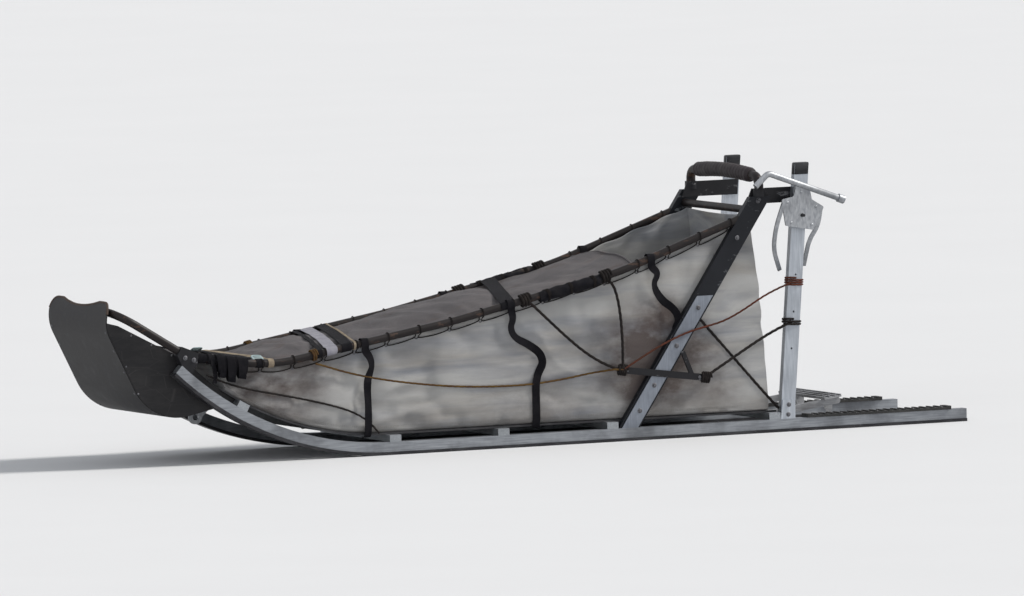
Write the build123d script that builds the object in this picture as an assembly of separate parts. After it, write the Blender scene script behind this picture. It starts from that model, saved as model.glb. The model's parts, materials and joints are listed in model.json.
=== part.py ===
from build123d import *
import math
import os

# Touring dog sled: two long runners carry a curved plastic bed with a canvas bag on it. Raked
# stanchions and upright posts hold the handlebar, side rails run forward to the brush bow, and
# a claw brake hangs behind the bed. Millimetres, +X forward, +Y to the sled's left, +Z up,
# z = 0 at the runner soles. Places along X count from the rear posts' feet, and every piece is
# moved by x_shift when it is written, so that the sled's own middle is at X = 0.

# Runners
track = 510.0
runner_width = 32.0
runner_height = 32.0
shoe_width = 40.0
shoe_height = 10.0
tail_x = -640.0
bend_x = 1440.0
sole_radius = 1100.0
tip_angle = 43.0

# Bed and crossbars
bed_half_width = 240.0
bed_thickness = 6.0
bed_tip_angle = 33.5
crossbar_width = 40.0
crossbar_height = 22.0
rear_crossbar_x = 56.0
middle_crossbars_x = (640.0, 1030.0, 1415.0)
front_crossbar_angle = 30.2

# Rear posts and stanchions, all leaning back
bar_thickness = 22.0
post_width = 50.0
post_foot_x = 8.5
post_top_x = -63.0
post_top_z = 871.0
head_drop = 101.0
post_hole_radius = 3.5
post_holes_z = (270.0, 390.0, 510.0)
stanchion_width = 62.0
stanchion_foot_x = 578.6
stanchion_top_x = 89.1
plate_width = 48.0
plate_thickness = 5.0
plate_top_z = 458.0
cheek_height = 62.0
cheek_thickness = 4.0
cheek_inset = 2.5
post_cheek_half_foot = 26.5
stanchion_cheek_half_foot = 39.5

# Handlebar and its brackets
bar_radius = 15.0
bar_rise = 64.0
bar_arch = 16.0
bar_corner_radius = 32.0
bar_arch_radius = 2200.0
grip_radius = 24.0
grip_half_length = 205.0
socket_radius = 20.0
socket_height = 26.0
bracket_thickness = 5.0
bracket_drop = 24.0
bracket_inset = 5.5
back_bar_drop = 43.0
back_bar_radius = 12.5

# Side rails, from the bow joint back to the stanchion
rail_radius = 12.5
joint_from_tip = (-26.5, 25.8)
rail_dip = (1840.0, 310.0)
rail_rise = (1200.0, 418.0)
rail_knee = (600.0, 548.0)
rail_back_drop = 57.5
rail_bends = (600.0, 2000.0, 1200.0)

# Brush bow: hoop, scoop plate and side wings. Places in side view count from the bow joint.
hoop_radius = 13.0
hoop_rise = 153.0
hoop_corner_radius = 85.0
scoop_thickness = 4.5
scoop_half_width = 228.0
scoop_top_from_joint = (251.0, 185.0)
scoop_knee_from_joint = (284.0, 124.0)
scoop_heel_from_joint = (117.0, -218.0)
scoop_toe_rise = 22.7
scoop_toe_lap = 0.7
scoop_bends = (120.0, 170.0)
scoop_ear_radius = 42.0
scoop_ear_drop = 2.0
scoop_dip = 16.0
scoop_dip_half_width = 141.0
wing_thickness = 3.0
wing_front_from_joint = (231.0, 110.0)
wing_rear_from_joint = (7.0, -7.0)
wing_low_from_joint = (-95.0, -94.0)
knuckle_reach_front = 40.0
knuckle_reach_back = 30.0
knuckle_half_height = 16.0
knuckle_heel_angle = 40.5

# Bag
bag_half_width = 235.0
bag_wall = 5.0
bag_rear_foot_x = 66.0
bag_rear_lean = 4.5
bag_front_gap = 145.0
bag_front_lean = 14.0
bag_front_z = 200.0
bag_rim_drop = 3.0
cover_wall = 3.5
cover_skirt = 14.0
cover_crown = 36.0
cover_rear_x = 535.0
cover_front_gap = 98.0

# Foot pads
pad_width = 50.0
pad_thickness = 12.0
pad_front_x = -60.0
pad_back_x = -580.0
pad_rib_pitch = 26.0
pad_rib_width = 8.0
pad_groove_depth = 4.0

# Claw brake
pivot_x = 14.0
pivot_z = 53.0
pin_radius = 5.0
pin_clearance = 0.1
lug_thickness = 6.0
lug_radius = 12.0
arm_y = 155.0
arm_thickness = 10.0
arm_height = 22.0
arm_length = 241.0
arm_rise = 7.3
side_play = 1.0
treadle_half_width = 172.0
treadle_length = 62.0
treadle_thickness = 5.0
tread_rib_height = 4.0
tread_rib_places = (0.0, 19.2, 38.4, 57.0)
claw_y = 105.0
claw_thickness = 10.0
claw_depth = 63.0
# corners of a claw: how far ahead of the treadle's back edge, share of its depth
claw_corners = ((4.0, 0.0), (42.0, 0.0), (36.0, 0.5), (20.0, 1.0), (14.0, 1.0), (8.0, 0.5))

# Snow hook, hung on the left post. Its places count from the pin: ahead, outward, up.
hook_drop = 167.0
hook_stand_off = 22.0
hook_plate_thickness = 6.0
hook_bar_radius = 10.0
hook_knob_radius = 14.0
hook_knob_length = 22.0
prong_width = 13.0
prong_thickness = 7.0
hook_pin_radius = 5.0
hook_hole_radius = 6.0
hook_boss_radius = 15.0
hook_pin_stick_out = 12.0
# outline of the plate, clockwise from its front shoulder, with the neck on top
hook_plate = (
    (73.0, 54.0), (30.0, 62.0), (17.0, 104.0), (-29.0, 88.0), (-36.0, 50.0), (-79.0, 24.0),
    (-40.0, -50.0), (60.0, -32.0),
)
hook_handle = ((166.0, 0.0, 100.0), (119.0, 0.0, 142.0), (-142.0, 0.0, 47.0))
hook_handle_bend = 22.0
front_prong = ((66.0, 0.0, 40.0), (92.0, -5.0, -34.0), (90.0, -33.0, -108.0), (54.0, -64.0, -180.0))
rear_prong = ((-68.0, 0.0, 20.0), (-60.0, -5.0, -36.0), (-42.0, -38.0, -86.0), (-36.0, -70.0, -170.0))

# Flat bar outside each stanchion's foot, with a short strut
lashing_bar_back = (305.0, 192.0)
lashing_bar_front = (612.0, 233.0)
lashing_bar_width = 22.0
lashing_bar_thickness = 8.0
lashing_strut_foot = (353.0, 200.0)
lashing_strut_top = (384.0, 276.0)
lashing_strut_width = 14.0

# Stay cords on each side
cord_radius = 4.0
cord_offset = 7.0
brace_high_z = 408.0
brace_low_z = 76.0
brace_post_z = 357.0
rail_stays_x = (933.0, 646.0)

# Tow eye under the front crossbar, its hole counted from the crossbar's front foot
eye_ahead = 27.8
eye_drop = 49.6
eye_radius = 23.0
eye_neck = 16.0
eye_root_back_angle = 1.9
eye_root_angle = 1.8
eye_hole_radius = 10.0
eye_thickness = 8.0

fit = 0.3

# Reach of the spaces that are cut away: an angle of the runners' bend, and heights
cut_angle = 12.0
cut_low = -60.0
cut_high = 160.0

runner_top = shoe_height + runner_height
crossbar_top = runner_top + crossbar_height
bed_top = crossbar_top + bed_thickness
half_track = track / 2
bar_inner_y = half_track - bar_thickness / 2
bar_outer_y = half_track + bar_thickness / 2
runner_inner_y = half_track - runner_width / 2
runner_outer_y = half_track + runner_width / 2
hook_y = bar_outer_y + hook_stand_off
stanchion_top_z = post_top_z - head_drop
bar_z = stanchion_top_z + bar_rise
back_bar_z = stanchion_top_z - back_bar_drop


def unit(angle):
    return Vector(math.cos(math.radians(angle)), math.sin(math.radians(angle)))


def side_view(y):
    """Plane whose drawing directions are +X and +Z, at the given y."""
    return Plane(origin=(0, y, 0), x_dir=(1, 0, 0), z_dir=(0, -1, 0))


def slab(outline, y_from, y_to):
    """Side-view outline given a thickness from one y to another."""
    return extrude(side_view(y_to) * outline, amount=y_to - y_from)


def outline_of(*edges):
    return make_face(Curve() + list(edges))


def bend_point(angle, z):
    """Point of the runners' bend at this angle, z above the sole before the bend."""
    return Vector(bend_x, sole_radius) + unit(angle - 90) * (sole_radius - z)


def ski_outline(x_back, angle, z_low, z_high):
    """Band that lies flat up to the bend and follows the bend up to the given angle."""
    centre = (bend_x, sole_radius)
    low = CenterArc(centre, sole_radius - z_low, -90, angle)
    high = CenterArc(centre, sole_radius - z_high, -90, angle)
    return outline_of(
        Line((x_back, z_low), (bend_x, z_low)),
        low,
        Line(low @ 1, high @ 1),
        high,
        Line((bend_x, z_high), (x_back, z_high)),
        Line((x_back, z_high), (x_back, z_low)),
    )


def bend_sector(angle_from, angle_to, z_low, z_high):
    """Piece of such a band between two angles of the bend."""
    centre = (bend_x, sole_radius)
    low = CenterArc(centre, sole_radius - z_low, angle_from - 90, angle_to - angle_from)
    high = CenterArc(centre, sole_radius - z_high, angle_from - 90, angle_to - angle_from)
    return outline_of(low, Line(low @ 1, high @ 1), high, Line(high @ 0, low @ 0))


def leaning_outline(foot, top, width):
    """Bar of the given width square to its length, cut level at its foot and its top."""
    run = Vector(*top) - Vector(*foot)
    half = Vector(width / 2 * run.length / run.Y, 0)
    low, high = Vector(*foot), Vector(*top)
    return make_face(Polyline(low - half, low + half, high + half, high - half, close=True))


def on_line(low, high, z):
    share = (z - low[1]) / (high[1] - low[1])
    return (low[0] + share * (high[0] - low[0]), z)


def follow(path, section, across=None):
    """Section carried square along a path of straight runs and arcs."""
    pieces = []
    for edge in path.edges():
        start = edge @ 0
        drawn = Plane(origin=start, x_dir=across, z_dir=edge % 0) * section
        if edge.geom_type == GeomType.LINE:
            pieces.append(extrude(drawn, amount=edge.length))
        else:
            turn = math.degrees(edge.length / edge.radius)
            spindle = Axis(edge.arc_center, (start - edge.arc_center).cross(edge % 0))
            pieces.append(revolve(drawn, spindle, turn))
    return pieces[0] + pieces[1:]


def tube(path, radius):
    return follow(path, Circle(radius))


def eased(points):
    """Path through the runs between the points with each corner as round as they allow."""
    points = [Vector(*point) for point in points]
    radii = []
    for before, here, after in zip(points, points[1:], points[2:]):
        turn = math.radians((here - before).get_angle(after - here))
        shorter = min((here - before).length, (after - here).length)
        radii.append(0.45 * shorter / math.tan(turn / 2))
    return FilletPolyline(*points, radius=radii)


def from_joint(offset):
    return (rail_front[0] + offset[0], rail_front[1] + offset[1])


def from_pin(offset):
    return (hook_pin[0] + offset[0], hook_y + offset[1], hook_pin[1] + offset[2])


def bar_outline(low, high, width):
    """Flat bar with round ends between two points."""
    run = Vector(*high) - Vector(*low)
    middle = (Vector(*high) + Vector(*low)) / 2
    tilt = math.degrees(math.atan2(run.Y, run.X))
    return Pos(middle.X, middle.Y) * Rot(0, 0, tilt) * SlotCenterToCenter(run.length, width)


tip = bend_point(tip_angle, runner_top)
rail_front = (tip.X + joint_from_tip[0], tip.Y + joint_from_tip[1])
hoop_z = rail_front[1] + hoop_rise
scoop_top = from_joint(scoop_top_from_joint)
scoop_knee = from_joint(scoop_knee_from_joint)
scoop_heel = from_joint(scoop_heel_from_joint)
toe_seat = bend_point(front_crossbar_angle - scoop_toe_lap, runner_top + scoop_toe_rise)
scoop_toe = (toe_seat.X, toe_seat.Y)
wing_top_front = from_joint(wing_front_from_joint)
wing_top_rear = from_joint(wing_rear_from_joint)
wing_rear = from_joint(wing_low_from_joint)
bag_front_foot_x = rail_front[0] - bag_front_gap
eye_seat = bend_point(front_crossbar_angle, runner_top)
eye_x = eye_seat.X + eye_ahead
eye_z = eye_seat.Y - eye_drop
stanchion_foot = (stanchion_foot_x, runner_top)
stanchion_top = (stanchion_top_x, stanchion_top_z)
post_foot = (post_foot_x, runner_top)
post_top = (post_top_x, post_top_z)
rail_back = on_line(stanchion_foot, stanchion_top, stanchion_top_z - rail_back_drop)
hook_pin = on_line(post_foot, post_top, post_top_z - hook_drop)


def runner():
    outline = ski_outline(tail_x, tip_angle, shoe_height, runner_top)
    return slab(outline, runner_inner_y, runner_outer_y)


def shoe():
    outline = ski_outline(tail_x, tip_angle, 0, shoe_height)
    return slab(outline, half_track - shoe_width / 2, half_track + shoe_width / 2)


def foot_pad():
    length = pad_front_x - pad_back_x
    middle = (pad_front_x + pad_back_x) / 2
    seat = Align.CENTER, Align.CENTER, Align.MIN
    pad = Pos(middle, half_track, runner_top) * Box(length, pad_width, pad_thickness, align=seat)
    count = int(length / pad_rib_pitch)
    groove_z = runner_top + pad_thickness - pad_groove_depth
    groove = Box(pad_rib_pitch - pad_rib_width, pad_width, pad_groove_depth, align=seat)
    places = GridLocations(pad_rib_pitch, 1, count - 1, 1)
    return pad - [Pos(middle, half_track, groove_z) * place * groove for place in places]


def crossbars():
    flat = Rectangle(crossbar_width, crossbar_height, align=(Align.CENTER, Align.MIN))
    bars = [
        slab(Pos(x, runner_top) * flat, -runner_outer_y, runner_outer_y)
        for x in (rear_crossbar_x,) + middle_crossbars_x
    ]
    spread = math.degrees(crossbar_width / (sole_radius - runner_top))
    front = bend_sector(
        front_crossbar_angle - spread, front_crossbar_angle, runner_top, crossbar_top
    )
    bars.append(slab(front, -runner_outer_y, runner_outer_y))
    return bars


def bed_sheet():
    back = rear_crossbar_x - crossbar_width / 2
    outline = ski_outline(back, bed_tip_angle, crossbar_top, bed_top)
    return slab(outline, -bed_half_width, bed_half_width)


def post():
    bar = slab(leaning_outline(post_foot, post_top, post_width), bar_inner_y, bar_outer_y)
    holes = [
        Pos(on_line(post_foot, post_top, z)[0], half_track, z)
        * Rot(90, 0, 0)
        * Cylinder(post_hole_radius, bar_thickness * 2)
        for z in post_holes_z
    ]
    return bar - holes


def stanchion():
    return slab(
        leaning_outline(stanchion_foot, stanchion_top, stanchion_width), bar_inner_y, bar_outer_y
    )


def stanchion_plate():
    top = on_line(stanchion_foot, stanchion_top, plate_top_z)
    outline = leaning_outline(stanchion_foot, top, plate_width)
    return slab(outline, bar_outer_y, bar_outer_y + plate_thickness)


def foot_bracket():
    """Cheek plates that stand on the runner against the feet of the post and the stanchion."""
    cheeks = []
    for foot, top, width, half_foot, outer in (
        (post_foot, post_top, post_width, post_cheek_half_foot, True),
        (stanchion_foot, stanchion_top, stanchion_width, stanchion_cheek_half_foot, False),
    ):
        upper = on_line(foot, top, runner_top + cheek_height)
        half_head = width / 2 - cheek_inset
        outline = make_face(
            Polyline(
                (foot[0] - half_foot, runner_top),
                (foot[0] + half_foot, runner_top),
                (upper[0] + half_head, upper[1]),
                (upper[0] - half_head, upper[1]),
                close=True,
            )
        )
        cheeks.append(slab(outline, bar_inner_y - cheek_thickness, bar_inner_y))
        if outer:
            cheeks.append(slab(outline, bar_outer_y, bar_outer_y + cheek_thickness))
    return cheeks


def handlebar_path():
    top = bar_z + bar_arch
    bar_x = stanchion_top_x
    return FilletPolyline(
        (bar_x, half_track, stanchion_top_z),
        (bar_x, half_track, bar_z),
        (bar_x, 0, top),
        (bar_x, -half_track, bar_z),
        (bar_x, -half_track, stanchion_top_z),
        radius=[bar_corner_radius, bar_arch_radius, bar_corner_radius],
    )


def handlebar():
    return tube(handlebar_path(), bar_radius)


def handlebar_grip():
    sleeve = tube(handlebar_path(), grip_radius) - tube(handlebar_path(), bar_radius + fit / 2)
    span = Box(grip_radius * 4, grip_half_length * 2, grip_radius * 6)
    return sleeve & Pos(stanchion_top_x, 0, bar_z) * span


def head_bracket():
    """Plate across the heads of the post and the stanchion, with the handlebar's socket."""
    low_z = stanchion_top_z - bracket_drop
    high_z = stanchion_top_z + socket_height
    post_low = on_line(post_foot, post_top, low_z)
    post_high = on_line(post_foot, post_top, high_z)
    bar_low = on_line(stanchion_foot, stanchion_top, low_z)
    outline = make_face(
        Polyline(
            (post_low[0] - post_width / 2 + bracket_inset, low_z),
            (bar_low[0] + stanchion_width / 2 - bracket_inset, low_z),
            (stanchion_top_x + socket_radius, high_z),
            (post_high[0] - post_width / 2 + bracket_inset, high_z),
            close=True,
        )
    )
    plate = slab(outline, bar_inner_y - bracket_thickness, bar_inner_y)
    seat = Align.CENTER, Align.CENTER, Align.MIN
    socket = Pos(stanchion_top_x, half_track, stanchion_top_z)
    ring = Cylinder(socket_radius, socket_height, align=seat)
    bore = Cylinder(bar_radius + fit / 2, socket_height, align=seat)
    return plate + socket * ring - socket * bore


def back_crossbar():
    x = on_line(stanchion_foot, stanchion_top, back_bar_z)[0]
    return Pos(x, 0, back_bar_z) * Rot(90, 0, 0) * Cylinder(back_bar_radius, bar_inner_y * 2)


def rail_line(start=rail_front):
    """Axis of a side rail in side view, from the bow joint back."""
    return FilletPolyline(start, rail_dip, rail_rise, rail_knee, rail_back, radius=rail_bends)


def rail_height(x):
    return rail_line().intersect(Line((x, 0), (x, post_top_z)))[0].Y


def rail_direction():
    return (Vector(*rail_front) - Vector(*rail_dip)).normalized()


def hoop_direction():
    return (Vector(hoop_x(), hoop_z) - Vector(*rail_front)).normalized()


def stanchion_space(width):
    """Space round a stanchion's width, across the whole side of the sled."""
    outline = leaning_outline(stanchion_foot, stanchion_top, stanchion_width + fit * 2)
    return slab(outline, half_track - width, half_track + width)


def rail():
    start = Vector(*rail_front) - rail_direction() * knuckle_reach_back
    whole = tube(side_view(half_track) * rail_line(start), rail_radius)
    return whole - stanchion_space(rail_radius * 2)


def scoop_line():
    """Middle line of the scoop plate in side view, from its top edge down and back."""
    return FilletPolyline(scoop_top, scoop_knee, scoop_heel, scoop_toe, radius=scoop_bends)


def hoop_x():
    """The hoop's front tube lies against the back of the scoop plate's upper bend."""
    centre = scoop_line().edges()[1].arc_center
    away = scoop_bends[0] - scoop_thickness / 2 - hoop_radius - fit
    return centre.X + math.sqrt(away**2 - (hoop_z - centre.Y) ** 2)


def bow_knuckle():
    """Cast joint on the runner's tip, square to the side rail and to the bow's hoop."""
    joint = Vector(*rail_front)
    back = joint - rail_direction() * knuckle_reach_back
    front = joint + hoop_direction() * knuckle_reach_front
    back_up = rail_direction().rotate(Axis.Z, 90) * knuckle_half_height
    front_up = hoop_direction().rotate(Axis.Z, 90) * knuckle_half_height
    heel = bend_point(knuckle_heel_angle, runner_top)
    tip = bend_point(tip_angle, runner_top)
    seat = CenterArc(
        (bend_x, sole_radius),
        sole_radius - runner_top,
        knuckle_heel_angle - 90,
        tip_angle - knuckle_heel_angle,
    )
    outline = outline_of(
        seat,
        Polyline(tip, front - front_up, front + front_up, back + back_up, back - back_up, heel),
    )
    return slab(outline, runner_inner_y, runner_outer_y)


def brush_bow():
    joint = Vector(*rail_front) + hoop_direction() * knuckle_reach_front
    path = FilletPolyline(
        (joint.X, half_track, joint.Y),
        (hoop_x(), half_track, hoop_z),
        (hoop_x(), -half_track, hoop_z),
        (joint.X, -half_track, joint.Y),
        radius=hoop_corner_radius,
    )
    return tube(path, hoop_radius)


def crossbar_clearance():
    """Space of the front crossbar and behind it, with the fit ahead of it."""
    ahead = math.degrees(fit / (sole_radius - crossbar_top))
    back = front_crossbar_angle - cut_angle
    return bend_sector(back, front_crossbar_angle + ahead, cut_low, cut_high)


def bed_clearance():
    """Space of the bed sheet's raised front and above it, with the fit round it."""
    ahead = math.degrees(fit / (sole_radius - bed_top))
    back = bed_tip_angle - cut_angle
    return bend_sector(back, bed_tip_angle + ahead, crossbar_top - fit, cut_high)


def bow_plate():
    section = trace(scoop_line(), scoop_thickness) - crossbar_clearance()
    sheet = slab(section, -scoop_half_width, scoop_half_width)
    ear_z = scoop_top[1] - scoop_ear_drop
    ear_y = scoop_dip_half_width
    front = Plane.YZ * make_face(
        Curve()
        + [
            Polyline(
                (ear_y, ear_z),
                (scoop_half_width, ear_z),
                (scoop_half_width, 0),
                (-scoop_half_width, 0),
                (-scoop_half_width, ear_z),
                (-ear_y, ear_z),
            ),
            ThreePointArc((-ear_y, ear_z), (0, ear_z - scoop_dip), (ear_y, ear_z)),
        ]
    )
    mask = extrude(front, amount=scoop_knee[0])
    corners = mask.edges().filter_by(Axis.X).group_by(Axis.Z)[-1].sort_by(Axis.Y)
    return sheet & fillet([corners[0], corners[-1]], scoop_ear_radius)


def bow_wing():
    """Side sheet that closes the scoop under the hoop, with its edge on the scoop plate."""
    line = scoop_line()
    edges = line.edges()
    toe = edges[-1] @ 1
    rim = Polyline(toe, wing_rear, wing_top_rear, wing_top_front, scoop_top)
    region = make_face(Curve() + [line, rim])
    high = scoop_top[1] + scoop_thickness
    above = make_face(
        Polyline(
            wing_top_rear, wing_top_front, scoop_knee, (scoop_knee[0], high), (wing_top_rear[0], high),
            close=True,
        )
    )
    region = region - above - crossbar_clearance() - bed_clearance()
    return slab(region, scoop_half_width, scoop_half_width + wing_thickness)


def tub_outline(wall):
    """Side view of the bag's inside, or of its outside with no wall, open at the top."""
    floor = bed_top + wall
    high = post_top_z
    back_foot = bag_rear_foot_x + wall
    back_top = back_foot + math.tan(math.radians(bag_rear_lean)) * (high - bed_top)
    front_foot = bag_front_foot_x - wall
    front_top = front_foot + math.tan(math.radians(bag_front_lean)) * (high - bag_front_z)
    band = ski_outline(back_foot, tip_angle, floor, high)
    walls = make_face(
        Polyline(
            (back_foot, 0), (back_foot, floor), (back_top, high), (front_top, high),
            (front_foot, bag_front_z), (front_foot, 0),
            close=True,
        )
    )
    return band & walls


def under_rails():
    path = Pos(0, -bag_rim_drop) * rail_line()
    start, end = path @ 0, path @ 1
    return outline_of(path, Polyline(end, (0, end.Y), (0, 0), (start.X, 0), start))


def bag_body():
    outside = tub_outline(0) & under_rails()
    shell = slab(outside, -bag_half_width, bag_half_width)
    half = bag_half_width - bag_wall
    return shell - slab(tub_outline(bag_wall), -half, half)


def cover_section(half, crown):
    return outline_of(
        ThreePointArc((half, 0), (0, crown), (-half, 0)),
        Polyline((-half, 0), (-half, -cover_skirt), (half, -cover_skirt), (half, 0)),
    )


def along_rails(section, x_back, x_front):
    """Section with its foot on the height of the side rails' axes, carried along them."""
    whole = follow(side_view(0) * rail_line(), Rot(0, 0, 180) * section, across=(0, 1, 0))
    seat = Align.MIN, Align.CENTER, Align.MIN
    return whole & Pos(x_back, 0, 0) * Box(x_front - x_back, track, post_top_z, align=seat)


def bag_cover():
    """Crowned sheet between the side rails, with a skirt down each side and its front closed."""
    half = bag_half_width + fit
    outside = cover_section(half + cover_wall, cover_crown)
    inside = cover_section(half, cover_crown - cover_wall)
    front_x = rail_front[0] - cover_front_gap
    sheet = along_rails(outside - inside, cover_rear_x, front_x)
    return sheet + along_rails(outside, front_x - cover_wall, front_x)


def hinge_outline(radius):
    front = rear_crossbar_x - crossbar_width / 2
    web = Pos((pivot_x + front) / 2, pivot_z) * Rectangle(front - pivot_x, crossbar_height)
    return Pos(pivot_x, pivot_z) * Circle(radius) + web


def brake_hinge():
    """Lugs on the rear crossbar, in pairs, each pair with its pin."""
    pieces = []
    outer = arm_y + arm_thickness / 2 + side_play
    inner = arm_y - arm_thickness / 2 - side_play
    for side in (1, -1):
        lugs = slab(hinge_outline(lug_radius), outer, outer + lug_thickness)
        lugs += slab(hinge_outline(lug_radius), inner - lug_thickness, inner)
        length = outer - inner + lug_thickness * 2
        pin = Pos(pivot_x, arm_y, pivot_z) * Rot(90, 0, 0) * Cylinder(pin_radius, length)
        pair = lugs + pin
        pieces.append(pair if side == 1 else mirror(pair, Plane.XZ))
    return pieces


def at_pivot(shape):
    """Places what is drawn with its arm level and its pivot at the origin."""
    return Pos(pivot_x, 0, pivot_z) * Rot(0, arm_rise, 0) * shape


def brake_frame():
    eye = Circle(arm_height / 2)
    end = Pos(-arm_length, 0) * Circle(arm_height / 2)
    bar = Pos(-arm_length / 2, 0) * Rectangle(arm_length, arm_height)
    arm_outline = eye + end + bar - Circle(pin_radius + pin_clearance)
    arm = slab(arm_outline, arm_y - arm_thickness / 2, arm_y + arm_thickness / 2)
    seat = Align.MIN, Align.CENTER, Align.MIN
    back = -arm_length - arm_height / 2
    width = treadle_half_width * 2
    tread = Pos(back, 0, arm_height / 2) * Box(treadle_length, width, treadle_thickness, align=seat)
    rib_z = arm_height / 2 + treadle_thickness
    rib = Box(treadle_thickness, width, tread_rib_height, align=seat)
    ribs = [Pos(back + ahead, 0, rib_z) * rib for ahead in tread_rib_places]
    return at_pivot(arm + mirror(arm, Plane.XZ) + tread + ribs)


def brake_claws():
    top = arm_height / 2
    back = -arm_length - arm_height / 2
    corners = [(back + ahead, top - share * claw_depth) for ahead, share in claw_corners]
    outline = make_face(Polyline(*corners, close=True))
    claw = slab(outline, claw_y - claw_thickness / 2, claw_y + claw_thickness / 2)
    return [at_pivot(claw), at_pivot(mirror(claw, Plane.XZ))]


def hook_holder():
    """Boss on the outside of the left post with the pin that the hook's plate hangs on."""
    face = hook_y - hook_plate_thickness / 2 - fit
    place = Plane(origin=(hook_pin[0], bar_outer_y, hook_pin[1]), z_dir=(0, 1, 0))
    boss = extrude(place * Circle(hook_boss_radius), amount=face - bar_outer_y)
    pin_end = hook_y + hook_plate_thickness / 2 + hook_pin_stick_out
    return boss + extrude(place * Circle(hook_pin_radius), amount=pin_end - bar_outer_y)


def snow_hook():
    """Flat plate with two prongs bent in past the post and a bar across its neck."""
    half = hook_plate_thickness / 2
    outline = make_face(Polyline(*hook_plate, close=True))
    outline = fillet(outline.vertices(), hook_plate_thickness) - Circle(hook_hole_radius)
    plate = slab(Pos(*hook_pin) * outline, hook_y - half, hook_y + half)
    handle = [from_pin(place) for place in hook_handle]
    bar = tube(FilletPolyline(*handle, radius=hook_handle_bend), hook_bar_radius)
    inward = Vector(*handle[-2]) - Vector(*handle[-1])
    knob = Plane(origin=handle[-1], z_dir=inward) * Cylinder(hook_knob_radius, hook_knob_length)
    prongs = [
        follow(
            eased([from_pin(place) for place in prong]),
            Rectangle(prong_thickness, prong_width),
            across=(0, 1, 0),
        )
        for prong in (front_prong, rear_prong)
    ]
    return plate + bar + knob + prongs


def lashing_outline(extra):
    """Side view of the lashing bar and its strut, this much larger all round."""
    bar = bar_outline(lashing_bar_back, lashing_bar_front, lashing_bar_width + extra * 2)
    strut = bar_outline(lashing_strut_foot, lashing_strut_top, lashing_strut_width + extra * 2)
    return bar + strut


def lashing_bar():
    """Bar across the outside of the stanchion's foot, where the stays are tied."""
    face = bar_outer_y + plate_thickness
    return slab(lashing_outline(0), face, face + lashing_bar_thickness)


def stay(start, end, spaces):
    """Straight cord between two places, cut back to what it is tied to."""
    run = Vector(*end) - Vector(*start)
    seat = Align.CENTER, Align.CENTER, Align.MIN
    cord = Plane(origin=start, z_dir=run) * Cylinder(cord_radius, run.length, align=seat)
    return max((cord - spaces).solids(), key=lambda piece: piece.volume)


def stays():
    """Crossed cords between post and stanchion, and cords from the rail to the lashing bar."""
    inner_y = half_track - cord_offset
    outer_y = half_track + cord_offset
    bar_y = bar_outer_y + plate_thickness + lashing_bar_thickness / 2
    post_outline = leaning_outline(post_foot, post_top, post_width + fit * 2)
    post_space = slab(post_outline, half_track - bar_thickness, half_track + bar_thickness)
    bar_space = slab(
        lashing_outline(fit), bar_y - lashing_bar_thickness * 2, bar_y + lashing_bar_thickness * 2
    )
    rail_space = tube(side_view(half_track) * rail_line(), rail_radius + fit)
    high = on_line(stanchion_foot, stanchion_top, brace_high_z)
    low_x = on_line(post_foot, post_top, brace_low_z)[0] + post_width / 2
    at_post = on_line(post_foot, post_top, brace_post_z)
    back, front = lashing_bar_back, lashing_bar_front
    cords = [
        stay(
            (high[0], inner_y, high[1]),
            (low_x, inner_y, brace_low_z),
            [stanchion_space(bar_thickness), post_space],
        ),
        stay((back[0], bar_y, back[1]), (at_post[0], outer_y, at_post[1]), [bar_space, post_space]),
    ]
    for x in rail_stays_x:
        top = (x, half_track, rail_height(x))
        cords.append(stay(top, (front[0], bar_y, front[1]), [rail_space, bar_space]))
    return cords


def tow_eye():
    """Lug under the middle of the front crossbar, with the hole for the tow line's shackle."""
    root = front_crossbar_angle - 90 - eye_root_back_angle
    seat = CenterArc((bend_x, sole_radius), sole_radius - runner_top, root, eye_root_angle)
    lug = outline_of(
        seat,
        Polyline(
            seat @ 1, (eye_x + eye_neck, eye_z + eye_neck), (eye_x, eye_z - eye_radius),
            (eye_x - eye_radius, eye_z), seat @ 0,
        ),
    )
    eye = Pos(eye_x, eye_z) * Circle(eye_radius)
    hole = Pos(eye_x, eye_z) * Circle(eye_hole_radius)
    return slab(lug + eye - hole, -eye_thickness / 2, eye_thickness / 2)


nose_x = scoop_line().edges()[1].arc_center.X + scoop_bends[0] + scoop_thickness / 2
x_shift = -(nose_x + tail_x) / 2


def write(name, shape):
    pieces = shape if isinstance(shape, list) else [shape]
    solids = [solid for piece in pieces for solid in piece.solids()]
    placed = [Pos(x_shift, 0, 0) * solid for solid in solids]
    export_step(placed[0] if len(placed) == 1 else Compound(placed), f"parts/{name}.step")


def write_pair(name, shape):
    """The piece as drawn goes on the left, and its mirror image on the right."""
    pieces = shape if isinstance(shape, list) else [shape]
    write(name + "_left", pieces)
    write(name + "_right", [mirror(piece, Plane.XZ) for piece in pieces])


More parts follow.
